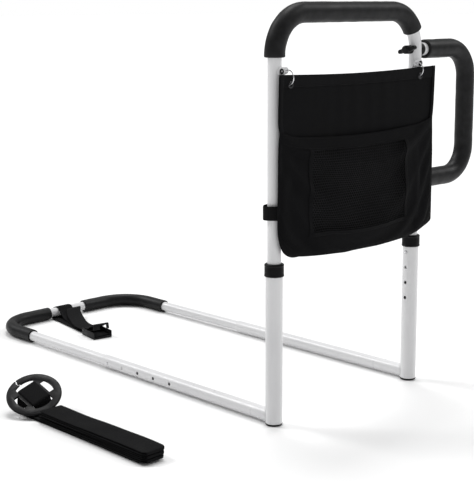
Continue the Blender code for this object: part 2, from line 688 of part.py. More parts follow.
def bundle_rows():
    """The strap folded back and forth on itself; the two lowest layers run on under the disc."""
    pitch = 0.0034
    fold = pitch / 2
    base = 0.0015
    line = [(BUNDLE_NEAR + 0.02, base)]
    for layer in range(BUNDLE_LAYERS):
        z = base + layer * pitch
        far = BUNDLE_TAIL if layer < 2 else BUNDLE_FAR
        if layer % 2 == 0:
            line.append((far - fold, z))
            turn, centre = 1, far - fold
        else:
            line.append((BUNDLE_NEAR + fold, z))
            turn, centre = -1, BUNDLE_NEAR + fold
        if layer < BUNDLE_LAYERS - 1:
            for step in (1, 2, 3):
                angle = math.radians(-90 + 45 * step)
                line.append((centre + turn * fold * math.cos(angle), z + fold + fold * math.sin(angle)))
            line.append((centre, z + pitch))
    rows = []
    for y, z in line:
        rows.append([Vector((BUNDLE_X + part * ANCHOR_WEB / 2, y, z)) for part in (-1, 1)])
    return rows


clear_scene()
build_legs()
build_base_tubes()
build_top_handle()
build_side_handle()
build_snap_buttons()
build_base_frame()
build_buckle_strap()
build_buckle()
build_bag()
build_anchor()
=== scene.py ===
"""Looks of the bed assist rail: fine meshes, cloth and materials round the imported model.

Everything is in metres in the model's frame: the origin is under the left foot, X runs across to the
right leg, +Y under the mattress and +Z up. Each CAD node that shows is replaced by a finer piece.
"""
import math
import random

import bmesh
import bpy
from mathutils import Matrix, Vector, noise


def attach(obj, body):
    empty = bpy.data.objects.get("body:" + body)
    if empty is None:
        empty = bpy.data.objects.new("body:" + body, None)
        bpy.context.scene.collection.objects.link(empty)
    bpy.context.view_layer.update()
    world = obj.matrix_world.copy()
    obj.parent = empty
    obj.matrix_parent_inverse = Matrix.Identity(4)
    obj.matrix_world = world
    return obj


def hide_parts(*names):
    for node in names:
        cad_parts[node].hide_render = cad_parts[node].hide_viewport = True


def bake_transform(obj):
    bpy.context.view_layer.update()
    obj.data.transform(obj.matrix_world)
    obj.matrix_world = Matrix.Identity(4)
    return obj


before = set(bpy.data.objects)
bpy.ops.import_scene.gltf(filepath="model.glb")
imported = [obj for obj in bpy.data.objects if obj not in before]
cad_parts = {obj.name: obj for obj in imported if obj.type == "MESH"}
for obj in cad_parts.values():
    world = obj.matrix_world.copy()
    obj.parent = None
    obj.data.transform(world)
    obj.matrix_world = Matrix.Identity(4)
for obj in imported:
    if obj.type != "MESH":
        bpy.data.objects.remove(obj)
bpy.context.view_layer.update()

X = Vector((1, 0, 0))
Y = Vector((0, 1, 0))
Z = Vector((0, 0, 1))

# Driving dimensions, as the CAD has them
SPACING = 0.4
LEG_R = 0.0159
LEG_BORE = 0.0144
UPRIGHT_R = 0.0127
UPRIGHT_BORE = 0.0115
INNER_R = 0.0111
INNER_BORE = 0.0099
LEG_TOP = 0.3
BUTTON_Z = 0.272
HEIGHT_PITCH = 0.032
HOLE_R = 0.0034
HANDLE_END_Z = 0.222
HANDLE_TOP = 0.756
HANDLE_BEND = 0.075
FOAM_R = 0.019
FOAM_GAP = 0.0002
GRIP_START_Z = 0.678
ARM_TOP = 0.681
ARM_LOW = 0.419
ARM_REACH = 0.171
ARM_BEND = 0.06
BASE_Z = 0.015
BASE_MOUTH = 0.508
BASE_BUTTON_Y = 0.488
BASE_PITCH = 0.0508
FAR_BAR_Y = 0.928
BASE_BEND = 0.085
PAD_R = 0.015
PAD_START_Y = 0.78
PAD_END_X = 0.148
LOOP_END_Y = 0.405      # the sliding U tube's open ends
LEGS = (("left", 0.0, 1), ("right", SPACING, -1))   # name, axis x, direction to the middle
SCREW_X = 0.002         # the bag's bracket screw, inward from the leg's axis
SCREW_Z = 0.654

BAG_LEFT = -0.014
BAG_RIGHT = 0.43
BAG_TOP = 0.649
BAG_LOW = 0.318
BAG_CORNER = 0.045
BAG_RISE = 0.018        # how far the lower edge rises at the right end
BAG_RISE_RUN = 0.095
PANEL_Y = -0.0235
POCKET_TOP = 0.548
EYELET_Z = 0.63
RING_X = 0.015
WEB_X = 0.175
WEB_WIDTH = 0.042
WEB_LEAN = 0.168        # sideways drift per metre along the buckle strap
BUNDLE_X = -0.283
BUNDLE_NEAR = 0.006
DISC_RIM_R = 0.0385     # inside of the disc's rim
BEND_SPACING = 0.003    # between the points of a bent route
SHARP = 32              # degrees at which an edge is left sharp
WAVE_SCALE = 0.314159   # wave texture's scale for a period of one metre
THREAD_R = 0.00042
INK = (0.002, 0.002, 0.0022)


# ---------------------------------------------------------------- materials

class Look:
    """A Principled material built up from patterns; its constants sit on the shader's own sockets."""

    def __init__(self, name, roughness, metallic=0.0, specular=0.5, sheen=0.0, coat=0.0, space="Object"):
        self.made = bpy.data.materials.new(name)
        self.made.use_nodes = True
        self.tree = self.made.node_tree
        self.main = self.tree.nodes["Principled BSDF"]
        for socket, value in (("Roughness", roughness), ("Metallic", metallic),
                              ("Specular IOR Level", specular), ("Sheen Weight", sheen),
                              ("Sheen Roughness", 0.5), ("Coat Weight", coat), ("Coat Roughness", 0.25)):
            self.main.inputs[socket].default_value = value
        self.where = self.node("TexCoord", {})[space]

    def node(self, kind, inputs, **settings):
        """The outputs of a new node; each input is a number, a colour or a socket to link."""
        made = self.tree.nodes.new("ShaderNode" + kind)
        for name, value in settings.items():
            setattr(made, name, value)
        for name, value in inputs.items():
            if isinstance(value, bpy.types.NodeSocket):
                self.tree.links.new(value, made.inputs[name])
            else:
                made.inputs[name].default_value = value
        return made.outputs

    def noise(self, scale, detail=3.0, stretch=None):
        """A noise pattern; stretch scales the coordinates first."""
        where = self.where
        if stretch:
            where = self.node("Mapping", {"Scale": stretch, "Vector": where})["Vector"]
        return self.node("TexNoise", {"Scale": scale, "Detail": detail, "Vector": where})["Fac"]

    def wave(self, period, direction):
        """Parallel ribs that repeat every period metres."""
        return self.node("TexWave", {"Scale": WAVE_SCALE / period, "Vector": self.where}, wave_type="BANDS",
                         bands_direction=direction, wave_profile="SIN")["Fac"]

    def ranged(self, value, low=0.0, high=1.0, start=0.3, stop=0.7):
        """The value's range start to stop mapped to low to high."""
        return self.node("MapRange", {"From Min": start, "From Max": stop, "To Min": low, "To Max": high,
                                      "Value": value})["Result"]

    def maths(self, operation, first, second):
        return self.node("Math", {0: first, 1: second}, operation=operation)["Value"]

    def tint(self, factor, dark, light):
        """The base colour runs from dark to light."""
        mixed = self.node("Mix", {"A": (*dark, 1.0), "B": (*light, 1.0), "Factor": factor}, data_type="RGBA")
        self.tree.links.new(mixed["Result"], self.main.inputs["Base Color"])

    def roughen(self, value, low, high):
        self.tree.links.new(self.ranged(value, low, high), self.main.inputs["Roughness"])

    def bump(self, height, distance, strength):
        """A relief of that depth, over any that the shader already has."""
        before = self.main.inputs["Normal"]
        inputs = {"Strength": strength, "Distance": distance, "Height": height}
        if before.is_linked:
            inputs["Normal"] = before.links[0].from_socket
        self.tree.links.new(self.node("Bump", inputs)["Normal"], before)


def powder_coat():
    """White satin powder coat with orange peel and faint scuffs."""
    look = Look("white_powder_coat", 0.33, coat=0.15)
    look.tint(look.ranged(look.noise(9.0)), (0.7, 0.7, 0.712), (0.76, 0.76, 0.765))
    look.roughen(look.noise(90.0, 5.0, (1.0, 1.0, 0.15)), 0.26, 0.42)
    look.bump(look.noise(650.0, 1.0), 0.00006, 0.5)
    return look.made


def foam():
    """Charcoal closed-cell foam: fine pores and soft mottling."""
    look = Look("black_foam", 0.46, specular=0.16)
    look.tint(look.ranged(look.noise(70.0, 4.0)), (0.007, 0.007, 0.0074), (0.015, 0.015, 0.0158))
    look.roughen(look.noise(25.0), 0.4, 0.52)
    pores = look.node("TexVoronoi", {"Scale": 1300.0, "Vector": look.where})
    look.bump(pores["Distance"], 0.0001, 0.4)
    look.bump(look.noise(160.0, 3.0), 0.00016, 0.4)
    return look.made


def plastic(name, dark, light):
    """Moulded black plastic: spark-eroded grain, paler worn edges."""
    look = Look(name, 0.48, specular=0.13)
    outer = look.ranged(look.node("NewGeometry", {})["Pointiness"], 0.0, 1.0, 0.52, 0.62)
    worn = look.maths("MULTIPLY", outer, look.noise(140.0))
    look.tint(look.maths("ADD", worn, look.ranged(look.noise(40.0), 0.0, 0.6)), dark, light)
    look.roughen(look.noise(60.0), 0.34, 0.5)
    look.bump(look.noise(2600.0, 2.0), 0.00004, 0.6)
    return look.made


def woven(name, period, depth, dark, light, sheen):
    """Plain-woven cloth on UVs in metres, with slubs and cloudy dye."""
    look = Look(name, 0.82, specular=0.06, sheen=sheen, space="UV")
    checker = look.node("TexChecker", {"Scale": 1.0 / period, "Vector": look.where})["Fac"]
    over = look.maths("MULTIPLY", look.wave(period, "X"), checker)
    under = look.maths("MULTIPLY", look.wave(period, "Y"), look.maths("SUBTRACT", 1.0, checker))
    threads = look.maths("ADD", over, under)
    cloud = look.noise(14.0, 4.0)
    shade = look.ranged(threads, 0.5, 1.0, 0.0, 1.0)
    look.tint(look.maths("MULTIPLY", look.ranged(cloud, 0.35, 1.0), shade), dark, light)
    look.roughen(cloud, 0.72, 0.9)
    look.bump(threads, depth, 0.6)
    look.bump(look.noise(350.0, 3.0, (1.0, 0.2, 1.0)), depth, 0.4)
    return look.made


def ribbed_webbing():
    """Heavy black webbing: ribs along it and picks across it, on UVs in metres."""
    look = Look("black_webbing", 0.78, specular=0.08, space="UV")
    ribs = look.maths("MULTIPLY", look.wave(0.0021, "X"), 0.7)
    picks = look.maths("MULTIPLY", look.wave(0.0012, "Y"), 0.5)
    twill = look.maths("MULTIPLY", look.wave(0.003, "DIAGONAL"), 0.3)
    relief = look.maths("ADD", look.maths("ADD", ribs, picks), twill)
    cloud = look.noise(22.0, 4.0)
    # Colour: painted shade in the hollows between ribs, picks and twill, times a random cloudy tone.
    rib_shade_and_cloud = look.maths("MULTIPLY", look.ranged(relief, 0.3, 1.0, 0.3, 1.3), look.ranged(cloud, 0.5, 1.0))
    look.tint(rib_shade_and_cloud, INK, (0.009, 0.009, 0.0098))
    look.roughen(cloud, 0.68, 0.86)
    look.bump(relief, 0.00022, 0.7)
    return look.made


def steel(name, dark, light):
    """Steel with fine drawn lines: bright zinc plate or black oxide."""
    look = Look(name, 0.25, metallic=1.0)
    lines = look.noise(900.0, 2.0, (1.0, 1.0, 0.1))
    look.roughen(lines, 0.16, 0.34)
    look.tint(look.ranged(look.noise(220.0)), dark, light)
    look.bump(lines, 0.00002, 0.5)
    return look.made


WHITE = powder_coat()
FOAM = foam()
PLASTIC = plastic("black_plastic", (0.005, 0.005, 0.0055), (0.012, 0.012, 0.013))
GLOSSY = plastic("black_knob_plastic", (0.006, 0.006, 0.0065), (0.016, 0.016, 0.017))
CANVAS = woven("black_canvas", 0.0009, 0.00016, INK, (0.008, 0.008, 0.0088), 0.0)
BINDING = woven("black_binding", 0.0014, 0.00022, INK, (0.007, 0.007, 0.008), 0.02)
NET = woven("black_net", 0.0006, 0.00008, (0.01, 0.01, 0.0105), (0.034, 0.034, 0.036), 0.02)
WEBBING = ribbed_webbing()
THREAD = woven("black_thread", 0.0005, 0.0001, (0.006, 0.006, 0.0065), (0.02, 0.02, 0.021), 0.05)
STEEL = steel("bright_steel", (0.58, 0.58, 0.6), (0.78, 0.78, 0.79))
DARK_STEEL = steel("black_steel", (0.025, 0.025, 0.027), (0.05, 0.05, 0.052))


# ---------------------------------------------------------------- mesh tools

def linked(name, bm, made_of):
    """A named object from a bmesh, in the scene and with its material."""
    mesh = bpy.data.meshes.new(name)
    bm.to_mesh(mesh)
    bm.free()
    thing = bpy.data.objects.new(name, mesh)
    bpy.context.scene.collection.objects.link(thing)
    if made_of:
        mesh.materials.append(made_of)
    return thing


def new_piece(name, bm, made_of, smooth=SHARP):
    """A named object from a bmesh, shaded smooth between sharp edges."""
    bmesh.ops.recalc_face_normals(bm, faces=bm.faces)
    thing = linked(name, bm, made_of)
    thing.data.shade_smooth()
    thing.data.set_sharp_from_angle(angle=math.radians(smooth))
    return thing


def place(piece, body, slot, *nodes):
    """The piece rides on a body and stands for CAD nodes, which it hides; the slot is not used."""
    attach(piece, body)
    if nodes:
        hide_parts(*nodes)
    return piece


def part(name, bm, made_of, body, slot, *nodes, smooth=SHARP):
    """A new piece that needs nothing more than its place."""
    return place(new_piece(name, bm, made_of, smooth), body, slot, *nodes)


def rounded(thing, width):
    """A small bevel on the edges that turn sharply."""
    bevel = thing.modifiers.new("round", "BEVEL")
    bevel.width = width
    bevel.segments = 2
    bevel.limit_method = "ANGLE"
    bevel.angle_limit = math.radians(50)


def settle(thing):
    """Keep the shape that the modifiers give, and drop the modifiers."""
    depsgraph = bpy.context.evaluated_depsgraph_get()
    evaluated = thing.evaluated_get(depsgraph)
    mesh = bpy.data.meshes.new_from_object(evaluated, preserve_all_data_layers=True, depsgraph=depsgraph)
    thing.modifiers.clear()
    mesh.name = thing.name
    thing.data = mesh
    return thing


def carve(thing, cutter_bm, operation="DIFFERENCE"):
    """Cut a bmesh out of a piece for good."""
    cutter = new_piece("cutter", cutter_bm, None)
    boolean = thing.modifiers.new("cut", "BOOLEAN")
    boolean.solver = "EXACT"
    boolean.operation = operation
    boolean.object = cutter
    settle(thing)
    bpy.data.objects.remove(cutter, do_unlink=True)
    thing.data.set_sharp_from_angle(angle=math.radians(SHARP))
    return thing


def skin(bm, rings, closed_along=False, caps=False):
    """Faces between successive rings of equal length."""
    pairs = list(zip(rings, rings[1:]))
    if closed_along:
        pairs.append((rings[-1], rings[0]))
    for low, high in pairs:
        for step in range(len(low)):
            after = (step + 1) % len(low)
            bm.faces.new((low[step], low[after], high[after], high[step]))
    if caps:
        bm.faces.new(rings[0])
        bm.faces.new(rings[-1])


def circle(bm, centre, first, second, radius, sides):
    """A ring of vertices in the plane of two unit vectors."""
    ring = []
    for step in range(sides):
        angle = math.tau * step / sides
        ring.append(bm.verts.new(centre + (first * math.cos(angle) + second * math.sin(angle)) * radius))
    return ring


def joined(*parts):
    """Several bmeshes in one."""
    whole = bmesh.new()
    for part in parts:
        mesh = bpy.data.meshes.new("scratch")
        part.to_mesh(mesh)
        part.free()
        whole.from_mesh(mesh)
        bpy.data.meshes.remove(mesh)
    return whole


def turned(profile, centre, axis, ring=False, sides=48):
    """Turn a (radius, height) profile round an axis; ring closes the profile on itself."""
    bm = bmesh.new()
    axis = Vector(axis).normalized()
    across = Y if abs(axis.y) < 0.5 else Z
    up = axis.cross(across)
    rings = [circle(bm, Vector(centre) + axis * h, across, up, r, sides) for r, h in profile]
    skin(bm, rings, closed_along=ring, caps=not ring)
    return bm


def rod(centre, axis, radius, start, stop, sides=24):
    """A plain round bar along an axis."""
    return turned([(radius, start), (radius, stop)], centre, axis, sides=sides)


def rounded_route(corners, radius):
    """Evenly dense points along straight runs joined by round bends."""
    route = [corners[0]]
    for before, corner, after in zip(corners, corners[1:], corners[2:]):
        into = (corner - before).normalized()
        out = (after - corner).normalized()
        turn = into.angle(out)
        reach = radius * math.tan(turn / 2)
        start = corner - into * reach
        centre = start + (out - into * into.dot(out)).normalized() * radius
        spoke = start - centre
        axis = into.cross(out).normalized()
        steps = max(8, round(radius * turn / BEND_SPACING))
        for step in range(steps + 1):
            route.append(centre + Matrix.Rotation(turn * step / steps, 3, axis) @ spoke)
    route.append(corners[-1])
    return route


def lengths(route):
    """Distance along the route at each of its points."""
    total = [0.0]
    for before, after in zip(route, route[1:]):
        total.append(total[-1] + (after - before).length)
    return total


def at_length(route, total, wanted):
    """(point, direction) at a distance along the route."""
    wanted = min(max(wanted, 0.0), total[-1])
    place_at = 0
    while place_at < len(total) - 2 and total[place_at + 1] < wanted:
        place_at += 1
    span = total[place_at + 1] - total[place_at]
    share = (wanted - total[place_at]) / span
    along = (route[place_at + 1] - route[place_at]).normalized()
    return route[place_at].lerp(route[place_at + 1], share), along


def pipe(route, side, outer, bore, start=0.0, stop=None, edge=0.0006, spacing=0.006, sides=48, ripple=0.0):
    """A hollow tube or foam sleeve along part of a flat route, with rounded outer edges at its ends.

    ripple is the depth of the slight hand-made unevenness of foam.
    """
    total = lengths(route)
    stop = total[-1] if stop is None else stop
    count = max(2, round((stop - start) / spacing))
    marks = [start + (stop - start) * step / count for step in range(count + 1)]
    for share in (0.08, 0.3, 0.62, 1.0):
        marks += [start + edge * share, stop - edge * share]
    marks = sorted(set(round(mark, 6) for mark in marks))
    bm = bmesh.new()
    outside = []
    inside = []
    for mark in marks:
        point, _ = at_length(route, total, mark)
        ahead, _ = at_length(route, total, mark + 0.002)
        behind, _ = at_length(route, total, mark - 0.002)
        along = (ahead - behind).normalized()
        across = along.cross(side).normalized()
        near = min(mark - start, stop - mark)
        radius = outer
        if near < edge:
            radius = outer - edge + math.sqrt(max(edge ** 2 - (edge - near) ** 2, 0.0))
        ring = circle(bm, point, across, side, radius, sides)
        if ripple:
            for vert in ring:
                push = noise.noise(vert.co * 55.0) * ripple
                vert.co += (vert.co - point).normalized() * push
        outside.append(ring)
        inside.append(circle(bm, point, across, side, bore, sides))
    skin(bm, outside + inside[::-1], closed_along=True)
    return bm


def prism(outline, push, bevel=0.0):
    """Extrude a flat outline along a vector and round its edges."""
    bm = bmesh.new()
    low = [bm.verts.new(point) for point in outline]
    high = [bm.verts.new(Vector(point) + push) for point in outline]
    bm.faces.new(low)
    bm.faces.new(high)
    skin(bm, [low, high])
    if bevel:
        bmesh.ops.recalc_face_normals(bm, faces=bm.faces)
        sharp = [e for e in bm.edges if e.calc_face_angle(0.0) > 0.4]
        bmesh.ops.bevel(bm, geom=sharp, offset=bevel, segments=3, profile=0.5, affect="EDGES")
    return bm


def arc(centre, radius, start, stop, first, second, steps):
    """Points on an arc in the plane of two unit vectors, angles in degrees."""
    points = []
    for step in range(steps + 1):
        angle = math.radians(start + (stop - start) * step / steps)
        points.append(Vector(centre) + (first * math.cos(angle) + second * math.sin(angle)) * radius)
    return points


def band(rows, thickness):
    """A flat strap from rows of (left, right) points: a lens-edged section with UVs in metres."""
    bm = bmesh.new()
    uv = bm.loops.layers.uv.new("UVMap")
    edge = [(0.0, 0.0), (0.012, 0.5), (0.05, 0.86), (0.12, 1.0)]
    top = edge + [(0.3, 1.0), (0.5, 1.0), (0.7, 1.0)] + [(1 - cut_at, fat) for cut_at, fat in edge[::-1]]
    section = top + [(cut_at, -fat) for cut_at, fat in top[-2:0:-1]]
    rings = []
    run = 0.0
    for place_at, (left, right) in enumerate(rows):
        before = rows[max(place_at - 1, 0)]
        after = rows[min(place_at + 1, len(rows) - 1)]
        along = ((after[0] + after[1]) - (before[0] + before[1])).normalized()
        up = (right - left).cross(along).normalized() * thickness / 2
        if place_at:
            run += ((left + right) - (before[0] + before[1])).length / 2
        width = (right - left).length
        rings.append([(bm.verts.new(left.lerp(right, cut_at) + up * fat), (cut_at * width, run))
                      for cut_at, fat in section])
    faces = [rings[0], rings[-1]]
    for low, high in zip(rings, rings[1:]):
        for step in range(len(section)):
            after = (step + 1) % len(section)
            faces.append((low[step], low[after], high[after], high[step]))
    for corners in faces:
        face = bm.faces.new([vert for vert, _ in corners])
        for loop, (_, spot) in zip(face.loops, corners):
            loop[uv].uv = spot
    return bm


def smooth_line(points, spacing=None, steps=None):
    """A smooth curve through points (Catmull-Rom), sampled every spacing metres or so, or in equal steps."""
    line = []
    padded = [points[0] * 2 - points[1]] + list(points) + [points[-1] * 2 - points[-2]]
    for a, b, c, d in zip(padded, padded[1:], padded[2:], padded[3:]):
        count = steps or max(1, round((c - b).length / spacing))
        for step in range(count):
            t = step / count
            line.append(0.5 * ((2 * b) + (c - a) * t + (2 * a - 5 * b + 4 * c - d) * t * t
                               + (3 * b - a - 3 * c + d) * t * t * t))
    line.append(points[-1])
    return line


# ---------------------------------------------------------------- lower frame

def eased_hole(at, out, wall, start, stop):
    """The drill for a button hole with an eased rim, through a tube of outer radius wall."""
    wide = HOLE_R + 0.0007
    profile = [(HOLE_R, start), (HOLE_R, wall - 0.0007), (wide, wall + 0.0002), (wide, stop)]
    return turned(profile, at, out, sides=32)


def build_legs():
    """Leg tubes with their holes, ribbed collars and foot caps."""
    for side, x, inward in LEGS:
        foot = Vector((x, 0, 0))
        bore = pipe([foot + Z * 0.0033, foot + Z * LEG_TOP], Y, LEG_R, LEG_BORE, spacing=0.02, sides=64)
        leg = new_piece(f"{side}_leg", bore, WHITE)
        for hole in range(4):
            at = Vector((x, 0, BUTTON_Z - hole * HEIGHT_PITCH))
            carve(leg, eased_hole(at, X * inward, LEG_R, 0.008, 0.019))
        place(leg, "lower_frame", "tube", f"{side}_leg_tube")

        cap = [(0.0138, 0), (0.015, 0.0002), (0.0157, 0.0007), (0.0161, 0.0015), (0.0161, 0.0029),
               (0.0158, 0.0032), (0.0141, 0.0032), (0.0141, 0.012), (0.0126, 0.014)]
        cap = turned(cap, foot, Z, sides=64)
        part(f"{side}_foot", cap, PLASTIC, "lower_frame", "plastic", f"{side}_leg_cap")
        part(f"{side}_collar", collar(foot), PLASTIC, "lower_frame", "plastic", f"{side}_leg_collar")


def collar(foot):
    """The black collar: a lipped skirt with fine grip ribs and a bush inside the leg."""
    profile = [(0.0162, 0.283), (0.0174, 0.283), (0.0181, 0.2835), (0.0184, 0.2845), (0.0182, 0.286),
               (0.0178, 0.2866)]
    for rib in range(7):
        low = 0.2872 + rib * 0.002
        profile += [(0.01735, low), (0.018, low + 0.0004), (0.018, low + 0.0011), (0.01735, low + 0.0015)]
    profile += [(0.0178, 0.3018), (0.0181, 0.3026), (0.0182, 0.304), (0.0178, 0.3053), (0.0166, 0.3064),
                (0.015, 0.3069), (0.0136, 0.307), (0.013, 0.3066), (0.013, 0.289), (0.0141, 0.289),
                (0.0141, 0.3003), (0.0162, 0.3003)]
    return turned(profile, foot, Z, ring=True, sides=64)


def build_base_tubes():
    """Outer base tubes, coped to the legs, with their holes and weld beads."""
    for side, x, inward in LEGS:
        route = [Vector((x, 0.004, BASE_Z)), Vector((x, BASE_MOUTH, BASE_Z))]
        tube = pipe(route, Z, UPRIGHT_R, UPRIGHT_BORE, spacing=0.03, sides=64)
        tube = new_piece(f"{side}_base", tube, WHITE)
        carve(tube, rod(Vector((x, 0, 0)), Z, LEG_R + 0.0002, -0.01, 0.04, sides=64))
        for hole in range(5):
            at = Vector((x, BASE_BUTTON_Y - hole * BASE_PITCH, BASE_Z))
            carve(tube, eased_hole(at, X * -inward, UPRIGHT_R, 0.006, 0.016))
        place(tube, "lower_frame", "tube", f"{side}_base_tube")
        part(f"{side}_weld", weld_bead(x), WHITE, "lower_frame", "tube", smooth=60)


def weld_bead(x):
    """The rippled fillet where a base tube meets its leg."""
    bm = bmesh.new()
    rings = []
    steps = 120
    for step in range(steps):
        angle = math.tau * step / steps
        spot = Vector((x + 0.0129 * math.cos(angle), 0, BASE_Z + 0.0129 * math.sin(angle)))
        spot.y = math.sqrt(LEG_R ** 2 - (spot.x - x) ** 2) + 0.0006
        spot.z = max(spot.z, 0.0024)
        outward = Vector((math.cos(angle), 0, math.sin(angle)))
        ripple = 0.0017 + 0.00025 * math.sin(angle * 30)
        rings.append(circle(bm, spot, outward, (outward * 0.3 + Y).normalized(), ripple, 12))
    skin(bm, rings, closed_along=True)
    return bm


# ---------------------------------------------------------------- handles

def foam_sleeve(name, sleeve, body, node):
    """A foam sleeve on its body, standing in for a CAD node."""
    grip = part(name, sleeve, FOAM, body, "foam", node, smooth=60)


def build_top_handle():
    """Inverted U tube with its holes, and the foam grip."""
    route = rounded_route([Vector((0, 0, HANDLE_END_Z)), Vector((0, 0, HANDLE_TOP)),
                           Vector((SPACING, 0, HANDLE_TOP)), Vector((SPACING, 0, HANDLE_END_Z))], HANDLE_BEND)
    tube = new_piece("upright_tube", pipe(route, Y, UPRIGHT_R, UPRIGHT_BORE, sides=64, spacing=0.008), WHITE)
    drills = []
    for _, x, inward in LEGS:
        drills.append(rod(Vector((x, 0, BUTTON_Z)), X * inward, HOLE_R, 0.006, 0.015))
        drills.append(rod(Vector((x + inward * SCREW_X, 0, SCREW_Z)), -Y, 0.0022, 0.006, 0.015))
    for z in (ARM_TOP, ARM_LOW):
        drills.append(rod(Vector((SPACING, 0, z)), X, 0.0036, -0.018, 0.018))
    carve(tube, joined(*drills))
    place(tube, "handle", "tube", "handle_tube")

    straight = HANDLE_TOP - HANDLE_BEND - HANDLE_END_Z
    start = GRIP_START_Z - HANDLE_END_Z
    stop = straight + HANDLE_BEND * math.radians(90 + 60) + (SPACING - 2 * HANDLE_BEND)
    grip = pipe(route, Y, FOAM_R, UPRIGHT_R + FOAM_GAP, start, stop, edge=0.0022, spacing=0.004, sides=72,
                ripple=0.00035)
    foam_sleeve("top_grip_foam", grip, "handle", "handle_grip")


def build_side_handle():
    """D handle, its foam, plugs, studs and knobs."""
    near = SPACING + 0.0175
    bar = SPACING + ARM_REACH
    route = rounded_route([Vector((near, 0, ARM_TOP)), Vector((bar, 0, ARM_TOP)), Vector((bar, 0, ARM_LOW)),
                           Vector((near, 0, ARM_LOW))], ARM_BEND)
    part("side_tube", pipe(route, Y, UPRIGHT_R, UPRIGHT_BORE, sides=64), WHITE, "handle", "tube",
         "side_handle_tube")
    total = lengths(route)[-1]
    grip = pipe(route, Y, FOAM_R, UPRIGHT_R + FOAM_GAP, 0.009, total - 0.009, edge=0.0022, spacing=0.004,
                sides=72, ripple=0.00035)
    foam_sleeve("side_grip_foam", grip, "handle", "side_handle_grip")
    for level, z in (("top", ARM_TOP), ("bottom", ARM_LOW)):
        axis = Vector((SPACING, 0, z))
        profile = [(0.0112, 0.0085), (0.0119, 0.0087), (0.0122, 0.0095), (0.0122, 0.0165), (0.0118, 0.0172),
                   (0.0112, 0.0173), (0.0112, 0.04), (0.0105, 0.0405)]
        plug = new_piece(f"{level}_plug", turned(profile, axis, X, sides=64), PLASTIC)
        carve(plug, rod(axis, Z, UPRIGHT_R + 0.0003, -0.03, 0.03, sides=64))
        carve(plug, rod(axis, X, 0.0033, 0.0, 0.0365))
        place(plug, "handle", "plastic", f"{level}_arm_plug")
        build_knob(level, axis)


def build_knob(level, axis):
    """Moulded two-wing knob and its threaded stud."""
    tilt = Matrix.Rotation(math.radians(-16), 3, "X")
    hub = turned([(0.0045, -0.0352), (0.0066, -0.0346), (0.0079, -0.0332), (0.0085, -0.031), (0.0086, -0.016),
                  (0.0082, -0.0144), (0.0074, -0.0138)], axis, X, sides=40)
    outline = []
    for half in (1, -1):
        for y, z in ((0.005, -0.0052), (0.012, -0.0044), (0.0175, -0.0042), (0.02, -0.0034),
                     (0.0212, -0.0016), (0.0212, 0.0016), (0.02, 0.0034), (0.0175, 0.0042), (0.012, 0.0044),
                     (0.005, 0.0052)):
            outline.append(axis + tilt @ Vector((-0.03, y * half, z * half)))
    wings = prism(outline, X * 0.0095, 0.0016)
    knob = new_piece(f"{level}_knob", hub, GLOSSY)
    carve(knob, wings, "UNION")
    remesh = knob.modifiers.new("blend", "REMESH")
    remesh.mode = "VOXEL"
    remesh.voxel_size = 0.00045
    smooth = knob.modifiers.new("soften", "SMOOTH")
    smooth.factor = 0.5
    smooth.iterations = 6
    settle(knob)
    knob.data.shade_smooth()
    carve(knob, rod(axis, X, 0.0032, -0.0315, 0.0))
    place(knob, f"{level}_knob", "plastic", f"{level}_wing_knob")

    profile = [(0.0028, -0.031), (0.0028, -0.011)]
    for turn in range(22):
        start = -0.01 + turn * 0.002
        profile += [(0.0026, start), (0.003, start + 0.0006), (0.003, start + 0.001),
                    (0.0026, start + 0.0016)]
    profile += [(0.0026, 0.0345), (0.0021, 0.0358)]
    stud = turned(profile, axis, X, sides=28)
    part(f"{level}_stud", stud, STEEL, f"{level}_knob", "steel", f"{level}_knob_stud")


def build_buttons():
    """Domed snap buttons, and the leaf springs inside the tubes."""
    for side, x, inward in LEGS:
        for kind, at, out, along, wall, reach, tube in (
                ("height", Vector((x, 0, BUTTON_Z)), X * inward, Z, LEG_R, UPRIGHT_BORE, "handle"),
                ("base", Vector((x, BASE_BUTTON_Y, BASE_Z)), X * -inward, Y, UPRIGHT_R, INNER_BORE,
                 "base_extension")):
            tip = wall + 0.0022
            profile = [(0.0042, reach - 0.003), (0.0042, reach - 0.0013), (0.0031, reach - 0.001)]
            for step in range(7):
                angle = math.radians(15 * step)
                profile.append((0.0008 + 0.0023 * math.cos(angle), tip - 0.0016 + 0.0016 * math.sin(angle)))
            name = f"{side}_{kind}_button"
            part(f"{side}_{kind}_snap", turned(profile, at, out, sides=32), STEEL, name, "steel", name)

            near = reach - 0.0037
            far = -(reach - 0.0011)
            width = along.cross(out) * 0.003
            line = ((near, -0.008), (near, 0.001), (near, 0.01), (near * 0.55, 0.024), (0.0012, 0.036),
                    (0.0, 0.0372), (-0.0012, 0.036), (far * 0.5, 0.015), (far, -0.008))
            rows = []
            for spot in smooth_line([Vector((*spot, 0)) for spot in line], 0.002):
                middle = at + out * spot.x + along * spot.y
                rows.append((middle - width, middle + width))
            leaf = new_piece(f"{side}_{kind}_leaf", band(rows, 0.0006), STEEL)
            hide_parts(f"{side}_{kind}_spring")
            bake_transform(leaf)


# ---------------------------------------------------------------- base extension

